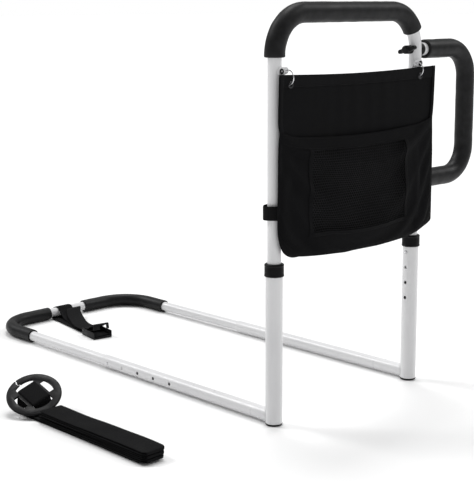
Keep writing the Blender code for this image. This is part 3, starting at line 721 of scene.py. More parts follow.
def build_base_extension():
    """Sliding U tube and its two foam pads."""
    ends = [Vector((x, LOOP_END_Y, BASE_Z)) for x in (0, SPACING)]
    bar = [Vector((x, FAR_BAR_Y, BASE_Z)) for x in (0, SPACING)]
    route = rounded_route([ends[0], *bar, ends[1]], BASE_BEND)
    tube = new_piece("base_loop_tube", pipe(route, Z, INNER_R, INNER_BORE, sides=56, spacing=0.008), WHITE)
    drills = [rod(Vector((x, BASE_BUTTON_Y, BASE_Z)), X * -inward, HOLE_R, 0.005, 0.014)
              for _, x, inward in LEGS]
    carve(tube, joined(*drills))
    place(tube, "base_extension", "tube", "base_u_tube")
    total = lengths(route)[-1]
    side_run = PAD_START_Y - LOOP_END_Y
    reach = FAR_BAR_Y - BASE_BEND - LOOP_END_Y + BASE_BEND * math.pi / 2 + (PAD_END_X - BASE_BEND)
    for side, start, stop in (("left", side_run, reach), ("right", total - reach, total - side_run)):
        pad = pipe(route, Z, PAD_R - 0.0003, INNER_R + FOAM_GAP, start, stop, edge=0.002, spacing=0.004,
                   sides=64, ripple=0.00025)
        foam_sleeve(f"{side}_pad_foam", pad, "base_extension", f"{side}_base_pad")


# ---------------------------------------------------------------- storage bag

COLS = 72
ROWS = 58
MOUTH_ROW = 40
ROW_POWER = 1.3                            # above one, the pocket's rows lie closer near the bottom
WINDOW = (0.06, 0.33, 0.362, 0.526)        # low x, high x, low z, high z of the net
CLOTH_TRAVEL = 0.012                       # how far the hanging may carry any point
TICKS = 40                                 # frames of cloth simulation


def bag_bottom(x):
    """Height of the bag's lower edge: a round left corner and a rising right end."""
    if x < BAG_LEFT + BAG_CORNER:
        short = BAG_LEFT + BAG_CORNER - x
        return BAG_LOW + BAG_CORNER - math.sqrt(BAG_CORNER ** 2 - short ** 2)
    rise_from = BAG_RIGHT - BAG_RISE_RUN
    if x > rise_from:
        return BAG_LOW + BAG_RISE * ((x - rise_from) / BAG_RISE_RUN) ** 2
    return BAG_LOW


def bag_x(column):
    return BAG_LEFT + (BAG_RIGHT - BAG_LEFT) * column / COLS


def pocket_share(row):
    """Height share of a pocket row: the rows lie closer near the bottom."""
    return (row / MOUTH_ROW) ** ROW_POWER


def row_height(column, row):
    x = bag_x(column)
    low = bag_bottom(x)
    if row <= MOUTH_ROW:
        return low + (POCKET_TOP - low) * pocket_share(row)
    return POCKET_TOP + (BAG_TOP - POCKET_TOP) * (row - MOUTH_ROW) / (ROWS - MOUTH_ROW)


def bag_start():
    """Panel and pocket grids before hanging, as {(layer, column, row): point}."""
    points = {}
    for column in range(COLS + 1):
        share = column / COLS
        x = bag_x(column)
        for row in range(ROWS + 1):
            z = row_height(column, row)
            high = max(0.0, (z - 0.56) / (BAG_TOP - 0.56))
            z -= 0.005 * math.sin(math.pi * share) * high
            flap = max(0.0, (x - 0.385) / 0.045)
            y = PANEL_Y - 0.0025 * flap ** 2 * (0.3 + 0.7 * high)
            y -= 0.003 * max(0.0, -x / 0.014) * high
            y += 0.001 * noise.noise(Vector((x * 11, z * 9, 4.0)))
            points["panel", column, row] = Vector((x, y, z))
        for row in range(1, MOUTH_ROW + 1):
            if column in (0, COLS):
                continue
            height = pocket_share(row)
            base = points["panel", column, row]
            shape = ((0, 0), (0.02, 0.5), (0.05, 0.76), (0.1, 0.92), (0.22, 1.0), (0.45, 0.92), (0.75, 0.62),
                     (1, 0))
            for (h0, f0), (h1, f1) in zip(shape, shape[1:]):
                if h0 <= height <= h1:
                    fat = f0 + (f1 - f0) * (height - h0) / (h1 - h0)
            reach = 0.03 * fat + 0.014 * height ** 2
            bulge = math.sin(math.pi * share) ** 0.45
            fold = 0.0055 * math.exp(-((x - 0.372) / 0.01) ** 2) * math.sin(3.2 * height + 0.4)
            fold += 0.003 * math.exp(-((x - 0.398) / 0.006) ** 2) * math.sin(7.5 * height)
            wave = 0.0022 * noise.noise(Vector((x * 13, height * 3.5, 9.0))) * bulge
            sag = 0.009 * math.sin(math.pi * share) * height ** 2
            out = max(0.0026, reach * bulge + fold + wave)
            points["pocket", column, row] = Vector((x, PANEL_Y - out, base.z - sag))
    return points


def pocket_key(column, row):
    """The pocket's own point, or the panel's where the two are sewn together."""
    if row == 0 or column in (0, COLS):
        return "panel", column, row
    return "pocket", column, row


def hang(points):
    """Let the bag hang in a cloth simulation and return its points."""
    keys = list(points)
    order = {key: place_at for place_at, key in enumerate(keys)}
    bm = bmesh.new()
    verts = [bm.verts.new(points[key]) for key in keys]
    for column in range(COLS):
        for row in range(ROWS):
            corners = ((column, row), (column + 1, row), (column + 1, row + 1), (column, row + 1))
            bm.faces.new([verts[order["panel", c, r]] for c, r in corners])
            if row < MOUTH_ROW:
                spots = [order[pocket_key(c, r)] for c, r in corners]
                if len(set(spots)) == 4 and spots != [order["panel", c, r] for c, r in corners]:
                    bm.faces.new([verts[spot] for spot in spots])
    cloth = new_piece("hanging_cloth", bm, None)
    group = cloth.vertex_groups.new(name="held")
    for key, spot in order.items():
        layer, column, row = key
        hold = 0.16 if layer == "panel" else 0.1
        if layer == "panel" and row >= ROWS - 1:
            hold = 1.0
        if layer == "panel" and (column in (0, COLS) or row == 0):
            hold = 0.9
        group.add([spot], hold, "REPLACE")
    hanging = cloth.modifiers.new("hang", "CLOTH")
    for name, value in (("quality", 6), ("mass", 0.25), ("tension_stiffness", 30),
                        ("compression_stiffness", 30), ("shear_stiffness", 6), ("bending_stiffness", 8.0),
                        ("air_damping", 2.0), ("shrink_min", -0.002), ("vertex_group_mass", "held"),
                        ("pin_stiffness", 1.0)):
        setattr(hanging.settings, name, value)
    hanging.point_cache.frame_end = TICKS
    scene = bpy.context.scene
    for tick in range(1, TICKS + 1):
        scene.frame_set(tick)
    shaped = cloth.evaluated_get(bpy.context.evaluated_depsgraph_get()).data
    result = {}
    for key, spot in order.items():
        shift = shaped.vertices[spot].co - points[key]
        if shift.length > CLOTH_TRAVEL:
            shift *= CLOTH_TRAVEL / shift.length
        result[key] = points[key] + shift
    scene.frame_set(1)
    bpy.data.objects.remove(cloth, do_unlink=True)
    return result


def keep_apart(points):
    """The panel stays clear of the uprights and the pocket in front of the panel."""
    for key, point in points.items():
        if key[0] == "panel":
            point.y = min(point.y, PANEL_Y + 0.0006)
    for key, point in points.items():
        if key[0] == "pocket":
            point.y = min(point.y, points["panel", key[1], key[2]].y - 0.0024)


class Bag:
    """The hung cloth as two grids that pieces are cut from."""

    def __init__(self):
        self.points = bag_start()
        self.points = hang(self.points)
        keep_apart(self.points)

    def at(self, layer, column, row):
        """Point at a fractional column and row."""
        c = min(int(column), COLS - 1)
        top = MOUTH_ROW if layer == "pocket" else ROWS
        r = min(int(row), top - 1)
        u = column - c
        v = row - r
        pick = pocket_key if layer == "pocket" else (lambda cc, rr: ("panel", cc, rr))
        low = self.points[pick(c, r)].lerp(self.points[pick(c + 1, r)], u)
        high = self.points[pick(c, r + 1)].lerp(self.points[pick(c + 1, r + 1)], u)
        return low.lerp(high, v)

    def front(self, layer, column, row):
        """Unit normal toward the camera side."""
        across = self.at(layer, min(column + 0.6, COLS), row) - self.at(layer, max(column - 0.6, 0), row)
        top = MOUTH_ROW if layer == "pocket" else ROWS
        up = self.at(layer, column, min(row + 0.6, top)) - self.at(layer, column, max(row - 0.6, 0))
        return across.cross(up).normalized()

    def patch(self, name, layer, columns, rows, offset, thickness, cloth, skip=None, fine=1):
        """A solid piece of cloth over a range of the grid, UVs in metres."""
        bm = bmesh.new()
        uv = bm.loops.layers.uv.new("UVMap")
        us = [columns[0] + step / fine for step in range(round((columns[1] - columns[0]) * fine) + 1)]
        vs = [rows[0] + step / fine for step in range(round((rows[1] - rows[0]) * fine) + 1)]
        grid = {}
        for i, u in enumerate(us):
            for j, v in enumerate(vs):
                spot = self.at(layer, u, v)
                if offset:
                    spot = spot + self.front(layer, u, v) * offset
                grid[i, j] = bm.verts.new(spot)
        size = (BAG_RIGHT - BAG_LEFT) / COLS
        for i in range(len(us) - 1):
            for j in range(len(vs) - 1):
                if skip and skip((us[i] + us[i + 1]) / 2, (vs[j] + vs[j + 1]) / 2):
                    continue
                corners = ((i, j), (i + 1, j), (i + 1, j + 1), (i, j + 1))
                face = bm.faces.new([grid[corner] for corner in corners])
                for loop, (a, b) in zip(face.loops, corners):
                    loop[uv].uv = (us[a] * size, grid[a, b].co.z)
        loose = [vert for vert in bm.verts if not vert.link_faces]
        bmesh.ops.delete(bm, geom=loose, context="VERTS")
        thing = linked(name, bm, cloth)
        solid = thing.modifiers.new("solid", "SOLIDIFY")
        solid.thickness = thickness
        solid.offset = 0.0
        rounded(thing, thickness * 0.35)
        settle(thing)
        thing.data.shade_smooth()
        return thing


def column_of(x):
    return (x - BAG_LEFT) / (BAG_RIGHT - BAG_LEFT) * COLS


def pocket_row(z):
    """Row of a height in the pocket, measured where the lower edge is level."""
    return MOUTH_ROW * ((z - BAG_LOW) / (POCKET_TOP - BAG_LOW)) ** (1 / ROW_POWER)


def pierce(cloth):
    """Cut the two eyelet holes through a piece of cloth."""
    carve(cloth, joined(*[rod(Vector((x + inward * RING_X, PANEL_Y, EYELET_Z)), Y, 0.0043, -0.012, 0.012)
                          for _, x, inward in LEGS]))


def build_bag():
    """Back panel, pocket with its net window, hems, tapes, binding and stitches."""
    bag = Bag()
    left, right = round(column_of(WINDOW[0])), round(column_of(WINDOW[1]))
    low, high = round(pocket_row(WINDOW[2])), round(pocket_row(WINDOW[3]))

    def window(u, v):
        return left < u < right and low < v < high

    panel = bag.patch("bag_panel_cloth", "panel", (0, COLS), (0, ROWS), 0.0, 0.0016, CANVAS)
    pierce(panel)
    place(panel, "handle", "fabric", "bag_back_panel")
    pocket = bag.patch("bag_pocket_cloth", "pocket", (0, COLS), (0, MOUTH_ROW), 0.0, 0.0013, CANVAS,
                       skip=window)
    place(pocket, "handle", "fabric", "bag_front_pocket")
    net = build_net(bag, left, right, low, high)
    across, up = (0.4, COLS - 0.6), (low - 1, high + 1)
    hem, top_hem, *tapes = [
        bag.patch(name, layer, columns, rows, offset, thickness, cloth, fine=2)
        for name, layer, columns, rows, offset, thickness, cloth in (
            ("pocket_hem", "pocket", across, (MOUTH_ROW - 3, MOUTH_ROW), 0.0011, 0.0012, CANVAS),
            ("top_hem", "panel", across, (ROWS - 4, ROWS), 0.0013, 0.0012, BINDING),
            ("window_tape_left", "pocket", (left - 1, left + 0.5), up, 0.001, 0.0009, BINDING),
            ("window_tape_right", "pocket", (right - 0.5, right + 1), up, 0.001, 0.0009, BINDING),
            ("window_tape_low", "pocket", (left - 1, right + 1), (low - 1, low + 0.5), 0.0015, 0.0009,
             BINDING))]
    pierce(top_hem)
    edge = new_piece("bag_binding", build_binding(bag), BINDING, 60)
    stitches = new_piece("bag_stitches", build_stitches(bag, left, right, low, high), THREAD, 60)
    for thing in (net, hem, top_hem, edge, stitches, *tapes):
        place(thing, "handle", "fabric")


def build_net(bag, left, right, low, high):
    """Hexagonal net across the pocket's window."""
    bm = bmesh.new()
    uv = bm.loops.layers.uv.new("UVMap")
    pitch = 0.0056
    size = pitch / math.sqrt(3)
    wide = (right - left + 1.0) * (BAG_RIGHT - BAG_LEFT) / COLS
    x_from = bag_x(left - 0.5)
    z_from, z_to = row_height(COLS // 2, low) - 0.003, row_height(COLS // 2, high) + 0.003
    verts = {}

    def spot(x, z):
        key = (round(x * 1e5), round(z * 1e5))
        if key not in verts:
            u = min(max(column_of(x), left - 0.5), right + 0.5)
            r = min(max(pocket_row(z), low - 0.5), high + 0.5)
            verts[key] = bm.verts.new(bag.at("pocket", u, r) - bag.front("pocket", u, r) * 0.0001)
        return verts[key]

    row = 0
    z = z_from
    while z < z_to:
        x = x_from + (pitch / 2 if row % 2 else 0.0)
        while x < x_from + wide:
            ring = []
            for step in range(6):
                angle = math.radians(60 * step + 30)
                ring.append(spot(x + size * math.cos(angle), z + size * math.sin(angle)))
            unique = list(dict.fromkeys(ring))
            if len(unique) == 6:
                try:
                    face = bm.faces.new(unique)
                except ValueError:
                    face = None
                if face:
                    for loop in face.loops:
                        loop[uv].uv = (loop.vert.co.x, loop.vert.co.z)
            x += pitch
        z += size * 1.5
        row += 1
    bmesh.ops.recalc_face_normals(bm, faces=bm.faces)
    net = linked("pocket_net", bm, NET)
    wire = net.modifiers.new("strands", "WIREFRAME")
    wire.thickness = 0.001
    wire.use_even_offset = False
    wire.use_replace = True
    settle(net)
    net.data.shade_smooth()
    return net


def build_binding(bag):
    """The tape folded round the sides and the lower edge, its section a flat oval."""
    edge = [bag.at("panel", 0, row) for row in range(ROWS, -1, -1)]
    edge += [bag.at("panel", column, 0) for column in range(1, COLS + 1)]
    edge += [bag.at("panel", COLS, row) for row in range(1, ROWS + 1)]
    clean = [edge[0]]
    for point in edge[1:]:
        if (point - clean[-1]).length > 0.0022:
            clean.append(point)
    eased = clean[:1] + [(a + b * 2 + c) / 4 for a, b, c in zip(clean, clean[1:], clean[2:])] + clean[-1:]
    line = smooth_line(eased, 0.003)
    middle = Vector((0.2, PANEL_Y, 0.47))
    bm = bmesh.new()
    uv = bm.loops.layers.uv.new("UVMap")
    sides = 20
    rings = []
    run = 0.0
    for place_at, point in enumerate(line):
        before = line[max(place_at - 1, 0)]
        after = line[min(place_at + 1, len(line) - 1)]
        along = (after - before).normalized()
        inward = middle - point
        inward -= along * inward.dot(along)
        inward.y = 0
        inward.normalize()
        thick = along.cross(inward).normalized()
        run += (point - before).length
        ring = []
        for step in range(sides):
            angle = math.tau * step / sides
            c, s = math.cos(angle), math.sin(angle)
            flat = math.copysign(abs(c) ** 0.7, c) * 0.0048
            deep = math.copysign(abs(s) ** 0.7, s) * 0.002
            ring.append(bm.verts.new(point + inward * (flat + 0.0036) + thick * deep))
        rings.append((ring, run))
    for (low, u), (high, w) in zip(rings, rings[1:]):
        for step in range(sides):
            after = (step + 1) % sides
            face = bm.faces.new((low[step], low[after], high[after], high[step]))
            here, there = step * 0.001, step * 0.001 + 0.001
            for loop, spot in zip(face.loops, ((here, u), (there, u), (there, w), (here, w))):
                loop[uv].uv = spot
    bm.faces.new(rings[0][0])
    bm.faces.new(rings[-1][0])
    return bm


def stitch_line(bm, points, normals, pitch=0.0042, long=0.003):
    """Little thread stitches along a line, lying on the surface."""
    total = lengths(points)
    mark = pitch
    while mark < total[-1] - pitch:
        a, _ = at_length(points, total, mark - long / 2)
        m, along = at_length(points, total, mark)
        b, _ = at_length(points, total, mark + long / 2)
        nearest = min(range(len(points)), key=lambda place_at: abs(total[place_at] - mark))
        normal = normals[nearest]
        side = along.cross(normal).normalized()
        rings = []
        for point, lift, size in ((a, -0.0002, 0.5), (a.lerp(m, 0.5), 0.00025, 0.9), (m, 0.00035, 1.0),
                                  (b.lerp(m, 0.5), 0.00025, 0.9), (b, -0.0002, 0.5)):
            rings.append(circle(bm, point + normal * lift, side, normal, THREAD_R * size, 6))
        skin(bm, rings, caps=True)
        mark += pitch


def build_stitches(bag, left, right, low, high):
    """Stitch lines of the hems and the window tapes."""
    bm = bmesh.new()
    lines = []
    for row, offset, layer in ((ROWS - 3.7, 0.002, "panel"), (ROWS - 0.5, 0.002, "panel"),
                               (MOUTH_ROW - 2.7, 0.0018, "pocket"), (MOUTH_ROW - 0.4, 0.0018, "pocket")):
        lines.append([(layer, 0.8 + step * 0.5, row, offset) for step in range(2 * COLS - 3)])
    for column in (left - 0.7, right + 0.7):
        lines.append([("pocket", column, low - 0.8 + step * 0.5, 0.0015)
                      for step in range(2 * (high - low) + 3)])
    lines.append([("pocket", left - 0.7 + step * 0.5, low - 0.7, 0.002)
                  for step in range(2 * (right - left) + 3)])
    for line in lines:
        points = []
        normals = []
        for layer, column, row, offset in line:
            normal = bag.front(layer, column, row)
            points.append(bag.at(layer, column, row) + normal * offset)
            normals.append(normal)
        stitch_line(bm, points, normals)
    return bm


def build_hangers():
    """White tabs, their screws, the wire rings and the eyelets."""
    for side, x, inward in LEGS:
        face = UPRIGHT_R + 0.0003
        thick = 0.0018
        screw_at = Vector((x + inward * SCREW_X, 0, SCREW_Z))
        lobe_at = Vector((x + inward * RING_X, 0, 0.6552))
        outline = arc(screw_at - Y * face, 0.008, 75, 285, X * inward, Z, 28)
        outline += arc(lobe_at - Y * face, 0.006, -90, 75, X * inward, Z, 22)
        tab = new_piece(f"{side}_tab", prism(outline, -Y * thick, 0.0005), WHITE)
        carve(tab, joined(rod(screw_at, -Y, 0.0021, 0.008, 0.02), rod(lobe_at, -Y, 0.0022, 0.008, 0.02)))
        place(tab, "handle", "steel", f"{side}_bag_bracket")

        head = face + thick + 0.0003
        profile = [(0.0016, 0.007), (0.0018, 0.0074), (0.0018, head), (0.0046, head), (0.005, head + 0.0003),
                   (0.005, head + 0.0011), (0.0044, head + 0.0019), (0.003, head + 0.0024),
                   (0.0016, head + 0.0025)]
        screw = new_piece(f"{side}_screw", turned(profile, screw_at, -Y, sides=40), GLOSSY)
        carve(screw, rod(screw_at, -Y, 0.0021, head + 0.001, head + 0.004, sides=32))
        place(screw, "handle", "plastic", f"{side}_bracket_screw")
        dome = [(0.0019, head + 0.001), (0.0019, head + 0.0015), (0.0014, head + 0.002),
                (0.0006, head + 0.0023)]
        dome = new_piece(f"{side}_screw_end", turned(dome, screw_at, -Y, sides=28), STEEL)
        carve(dome, rod(screw_at, -Y, 0.0007, head + 0.0013, head + 0.004, sides=6))
        place(dome, "handle", "steel")

        wire = arc((0, 0, 0), 0.001, 0, 360, X, Y, 16)[:-1]
        ring = turned([(0.0135 + spot.x, spot.y) for spot in wire],
                      (x + inward * RING_X, -0.019, 0.6427), X, ring=True, sides=72)
        part(f"{side}_ring", ring, STEEL, "handle", "steel", f"{side}_hook_ring")

        eye = Vector((x + inward * RING_X, PANEL_Y, EYELET_Z))
        spool = [(0.003, -0.002), (0.0034, -0.003), (0.0042, -0.0034), (0.0056, -0.003), (0.0063, -0.0022),
                 (0.006, -0.0018), (0.0042, -0.0018), (0.0042, 0.0014), (0.006, 0.0014), (0.0063, 0.0018),
                 (0.0056, 0.0026), (0.0042, 0.003), (0.0034, 0.0026), (0.003, 0.0016)]
        part(f"{side}_eyelet", turned(spool, eye, Y, ring=True), DARK_STEEL, "handle", "steel",
             f"{side}_bag_eyelet", smooth=50)


def build_bands():
    """Webbing bands round the uprights, closed on an overlap behind the bag."""
    for side, x, low in (("left", 0.0, 0.388), ("right", SPACING, 0.352)):
        rows = []
        for step in range(104):
            angle = math.radians(-95 + 375 * step / 103)
            reach = 0.0196 + 0.0017 * min(max((step - 88) / 12, 0.0), 1.0)
            reach += 0.0004 * math.sin(3 * angle)
            spot = Vector((x + reach * math.cos(angle), reach * math.sin(angle), low))
            lean = 0.0006 * math.sin(2 * angle)
            rows.append((spot + Z * lean, spot + Z * (0.026 + lean)))
        ribbon = new_piece(f"{side}_band", band(rows, 0.0015), WEBBING, 50)
        place(ribbon, "handle", "webbing", f"bag_{side}_band")


# ---------------------------------------------------------------- straps

def strap_rows(points):
    """Rows across a strap whose (run, height, middle x) points start at the far bar."""
    half = Vector((WEB_WIDTH / 2, 0, 0))
    middles = [Vector((x, FAR_BAR_Y - run, z)) for run, z, x in points]
    return [(middle - half, middle + half) for middle in middles]


def build_seam():
    """Box stitch that closes the loop of webbing: a rectangle and its diagonals."""
    bm = bmesh.new()
    corners = []
    for run, across in ((0.106, -0.016), (0.106, 0.016), (0.137, 0.016), (0.137, -0.016)):
        middle = WEB_X - WEB_LEAN * run + 0.0055 * (0.142 - run) / 0.032
        corners.append(Vector((middle + across, FAR_BAR_Y - run, 0.006)))
    for a, b in ((0, 1), (1, 2), (2, 3), (3, 0), (0, 2), (1, 3)):
        points = [corners[a].lerp(corners[b], step / 24) for step in range(25)]
        stitch_line(bm, points, [Z] * 25, pitch=0.0034, long=0.0024)
    return bm


def build_buckle_strap():
    """Webbing under and round the far bar, sewn back on itself, and its loose tail."""
    wrap = INNER_R + 0.0006 + 0.0008
    line = [(0.232, 0.0054, 0.0), (0.2, 0.0054, 0.0), (0.172, 0.0054, 0.0), (0.152, 0.0027, 0.0),
            (0.11, 0.0028, 0.0), (0.06, 0.0026, 0.0), (0.02, 0.0025, 0.0)]
    for step in range(49):
        share = step / 48
        angle = math.radians(-90 + 215 * share)
        line.append((-wrap * math.cos(angle), BASE_Z + wrap * math.sin(angle), 0.018 * share))
    line += [(0.02, 0.016, 0.0175), (0.034, 0.01, 0.016), (0.052, 0.0069, 0.014), (0.08, 0.0052, 0.01),
             (0.11, 0.005, 0.0055), (0.142, 0.005, 0.0)]
    line = smooth_line([Vector(spot) for spot in line], 0.003)
    rows = strap_rows([(p.x, p.y, WEB_X - WEB_LEAN * p.x + p.z) for p in line])
    strap = part("far_bar_webbing", band(rows, 0.0017), WEBBING, "buckle_strap", "webbing", "buckle_strap",
                 smooth=50)
    seam = part("webbing_seam", build_seam(), THREAD, "buckle_strap", "webbing", smooth=60)

    tail = ((0.021, 0.0225, 0.208), (0.032, 0.0235, 0.201), (0.052, 0.018, 0.187), (0.082, 0.0125, 0.173),
            (0.122, 0.0092, 0.156), (0.168, 0.009, 0.147))
    tail = smooth_line([Vector(spot) for spot in tail], 0.004)
    loose = part("loose_tail", band(strap_rows(tail), 0.0017), WEBBING, "buckle_strap", "webbing",
                 "buckle_strap_tail", smooth=50)


def build_buckle():
    """Cam buckle: a ribbed channel, a steel pin and the lever that bites the webbing."""
    turn = Matrix.Translation((0.1395, 0.722, 0)) @ Matrix.Rotation(-math.atan(WEB_LEAN), 4, "Z")
    pin_at = Vector((0, 0.022, 0.0125))
    bore = 0.0023
    wide, inner, cheek = 0.0237, 0.0213, 0.0165
    outline = [(-wide, 0.0006), (wide, 0.0006), (wide, cheek), (inner, cheek), (inner, 0.004),
               (-inner, 0.004), (-inner, cheek), (-wide, cheek)]
    channel = prism([Vector((x, -0.03, z)) for x, z in outline], Y * 0.06, 0.0006)
    body = new_piece("buckle_body", channel, PLASTIC)
    cuts = [rod(pin_at, X, bore, -0.03, 0.03)]
    for rib in range(5):
        corner = Vector((-0.03, -0.026 + rib * 0.007, 0.016))
        groove = ((0, 0), (0.003, 0), (0.003, 0.002), (0, 0.002))
        cuts.append(prism([corner + Vector((0, y, z)) for y, z in groove], X * 0.06))
    carve(body, joined(*cuts))

    pin = [(0.0014, -wide - 0.0009), (0.0024, -wide - 0.0006), (0.0024, -wide - 0.0002), (0.002, -wide)]
    pin += [(radius, -along) for radius, along in pin[::-1]]
    pin = new_piece("buckle_axle", turned(pin, pin_at, X, sides=32), DARK_STEEL)

    arm = arc(pin_at, 0.0055, -70, 110, Y, Z, 24)
    arm += [Vector((0, y, z)) for y, z in (
        (-0.017, 0.0335), (-0.02, 0.0336), (-0.0216, 0.0325), (-0.024, 0.0205), (-0.0218, 0.02),
        (-0.0192, 0.03), (-0.017, 0.0305), (0.015, 0.015), (0.0172, 0.0098))]
    blade = new_piece("buckle_flap", prism([p - X * 0.0205 for p in arm], X * 0.041, 0.0005), PLASTIC)
    for y0, z0, y1, z1 in ((-0.015, 0.0, 0.012, 0.05), (-0.03, 0.0, 0.012, 0.03)):
        sides = [Vector((-0.004, y, z)) for y, z in ((y0, z0), (y1, z0), (y1, z1), (y0, z1))]
        carve(blade, prism(sides, X * 0.018))
    cuts = [rod(pin_at, X, bore, -0.03, 0.03)]
    for rib in range(4):
        cuts.append(rod(Vector((-0.017, -0.012 + rib * 0.0045, 0.033 - rib * 0.0012)), X, 0.0009, 0.0, 0.034,
                        sides=12))
    carve(blade, joined(*cuts))

    for piece, carrier, slot, node in ((body, "buckle_strap", "plastic", "buckle_frame"),
                                       (pin, "buckle_strap", "steel", "buckle_pin"),
                                       (blade, "buckle_lever", "plastic", "buckle_lever")):
        piece.data.transform(turn)
        place(piece, carrier, slot, node)


def build_anchor():
    """The slotted disc, the loop over its plate and the long folded strap."""
    lean = Vector((-0.694, -0.72, 0.0)).normalized()
    placed = Matrix.Translation((-0.28, 0.37, 0.035)) @ Matrix.Rotation(math.radians(30), 4, Z.cross(lean))
    half = 0.00225
    profile = [(0.0505, -half), (0.0522, -half + 0.0004), (0.053, -half + 0.0013), (0.053, half - 0.0013),
               (0.0522, half - 0.0004), (0.0505, half)]
    disc = new_piece("disc", turned(profile, (0, 0, 0), Z, sides=128), PLASTIC)
    below = Vector((0, 0, -0.01))
    cuts = []
    for across, along, half_slot, inner in ((X, Y, 0.0205, 0.023), (Y, -X, 0.0165, 0.0245),
                                            (X, -Y, 0.0205, 0.023), (Y, X, 0.0165, 0.0245)):
        spread = math.degrees(math.asin(half_slot / DISC_RIM_R))
        outline = arc(below, DISC_RIM_R, 90 - spread, 90 + spread, across, along, 20)
        outline += [below + across * half_slot * end + along * inner for end in (-1, 1)]
        cuts.append(prism(outline, Z * 0.02))
    carve(disc, joined(*cuts))
    zigzag = ((0.036, -0.0015), (0.0415, -0.0015), (0.0415, 0.0015), (0.0465, 0.0015), (0.0465, -0.0015),
              (0.058, -0.0015), (0.058, 0.0015), (0.0495, 0.0015), (0.0495, 0.0045), (0.0385, 0.0045),
              (0.0385, 0.0015), (0.036, 0.0015))
    slit = prism([below + Vector((r, t, 0)) for r, t in zigzag], Z * 0.02)
    slit.transform(Matrix.Rotation(math.radians(97), 4, "Z"))
    carve(disc, slit)
    rounded(disc, 0.0006)
    settle(disc)
    disc.data.transform(placed)
    disc.data.set_sharp_from_angle(angle=math.radians(40))
    place(disc, "floor_anchor", "plastic", "anchor_disc")

    ends = []
    for side in (-0.0195, 0.0195):
        line = [placed @ Vector((side, along, up)) for along, up in
                ((0.0262, -0.0085), (0.0262, -0.002), (0.0256, 0.0018), (0.0228, 0.0042), (0.016, 0.0046),
                 (0.0, 0.0048), (-0.016, 0.0046), (-0.0228, 0.0042), (-0.0256, 0.0018), (-0.0262, -0.002),
                 (-0.0272, -0.0062), (-0.032, -0.009))]
        heel = line[0]
        for back, z in ((0.004, 0.02), (0.0034, 0.009), (0.0, 0.0026)):
            line.insert(0, Vector((heel.x, heel.y + back, z)))
        ends.append(smooth_line(line, steps=10))
    loop = part("disc_loop", band(list(zip(*ends)), 0.0022), WEBBING, "floor_anchor", "webbing",
                "anchor_strap_loop", smooth=50)

    rng = random.Random(7)
    pitch = 0.0034
    fold = pitch / 2
    base = 0.0015
    line = [(BUNDLE_NEAR + 0.02, base)]
    for layer in range(7):
        z = base + layer * pitch
        reach = 0.372 if layer < 2 else 0.316 + rng.uniform(-0.0035, 0.0035)
        back = BUNDLE_NEAR + rng.uniform(-0.0015, 0.0025)
        near = line[-1][0]
        turn = 1 if layer % 2 == 0 else -1
        far = reach - fold if turn == 1 else back + fold
        line += [(near + (far - near) * step / 40, z) for step in range(1, 41)]
        if layer < 6:
            for step in range(1, 10):
                angle = math.radians(-90 + 18 * step)
                line.append((far + turn * fold * 0.9 * math.cos(angle), z + fold + fold * math.sin(angle)))
    rows = []
    for place_at, (y, z) in enumerate(line):
        middle = BUNDLE_X + 0.001 * math.sin(place_at * 0.043 + 1.0) + 0.0006 * math.sin(place_at * 0.13)
        corner = max(0.0, 1 - (y - BUNDLE_NEAR) / 0.01)
        half_width = 0.025 - 0.006 * corner ** 2
        lift = 0.0009 * noise.noise(Vector((y * 14, z * 260, 2.0))) if z > base + pitch else 0.0
        if z > base + 5.6 * pitch:
            lift += 0.0005 + 0.001 * math.sin(y * 21)
        rows.append((Vector((middle - half_width, y, z + lift * 0.5)),
                     Vector((middle + half_width, y, z + lift))))
    strap = part("folded_strap", band(rows, 0.0027), WEBBING, "floor_anchor", "webbing", "anchor_strap",
                 smooth=50)


# ---------------------------------------------------------------- stage

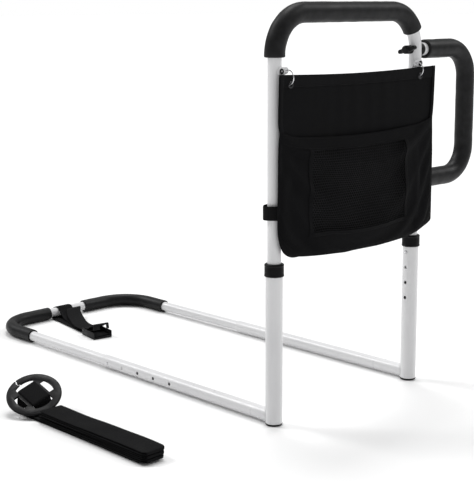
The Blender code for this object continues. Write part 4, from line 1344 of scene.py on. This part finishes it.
def build_stage():
    """Camera at the catalogue view's angle, a pale floor, a bright surround and soft lamps."""
    yaw, pitch, roll = math.radians(43.98), math.radians(10.69), math.radians(-0.2)
    ahead = Vector((math.sin(yaw), math.cos(yaw), 0)) * math.cos(pitch) - Z * math.sin(pitch)
    right = Vector((math.cos(yaw), -math.sin(yaw), 0))
    up = right.cross(ahead)
    turned_right = right * math.cos(roll) + up * math.sin(roll)
    turned_up = up * math.cos(roll) - right * math.sin(roll)
    lens = bpy.data.cameras.new("camera")
    lens.lens = 87.2
    lens.shift_x = -0.0042
    lens.shift_y = -0.0369
    lens.clip_end = 200
    camera = bpy.data.objects.new("camera", lens)
    bpy.context.scene.collection.objects.link(camera)
    turn = Matrix((turned_right, turned_up, -ahead)).transposed().to_4x4()
    camera.matrix_world = Matrix.Translation((-1.5427, -1.507, 0.7728)) @ turn
    bpy.context.scene.camera = camera

    bm = bmesh.new()
    bmesh.ops.create_grid(bm, x_segments=8, y_segments=8, size=60)
    bm.transform(Matrix.Translation((0, 0, -0.0006)))
    look = Look("pale_floor", 0.5, specular=0.0)
    look.tint(look.ranged(look.noise(0.7)), (0.94, 0.94, 0.94), (0.95, 0.95, 0.95))
    floor = new_piece("floor", bm, look.made)

    world = bpy.data.worlds.new("studio")
    bpy.context.scene.world = world
    world.use_nodes = True
    tree = world.node_tree
    surround = tree.nodes["Background"]
    backdrop = tree.nodes.new("ShaderNodeBackground")
    for light, strength in ((surround, 0.36), (backdrop, 1.0)):
        light.inputs["Color"].default_value = (1.0, 1.0, 1.0, 1.0)
        light.inputs["Strength"].default_value = strength
    choose = tree.nodes.new("ShaderNodeMixShader")
    path = tree.nodes.new("ShaderNodeLightPath")
    tree.links.new(path.outputs["Is Camera Ray"], choose.inputs["Fac"])
    tree.links.new(surround.outputs["Background"], choose.inputs[1])
    tree.links.new(backdrop.outputs["Background"], choose.inputs[2])
    tree.links.new(choose.outputs["Shader"], tree.nodes["World Output"].inputs["Surface"])
    left = Vector((-0.72, 0.69, 0.0))
    back = Vector((0.69, 0.72, 0.0))
    for name, source, soft, power in (("left_sun", left * 0.85 + back * 0.35 + Z * 0.9, 22, 1.2),
                                      ("right_sun", left * -0.85 + back * 0.3 + Z * 0.75, 24, 0.9),
                                      ("top_sun", back * 0.45 + Z, 26, 1.45)):
        lamp = bpy.data.lights.new(name, "SUN")
        lamp.angle = math.radians(soft)
        lamp.energy = power
        light = bpy.data.objects.new(name, lamp)
        bpy.context.scene.collection.objects.link(light)
        light.rotation_euler = (-source).to_track_quat("-Z", "Y").to_euler()
    bpy.context.scene.view_settings.view_transform = "Standard"


build_stage()
build_legs()
build_base_tubes()
build_top_handle()
build_side_handle()
build_buttons()
build_base_extension()
build_hangers()
build_bag()
build_bands()
build_buckle_strap()
build_buckle()
build_anchor()
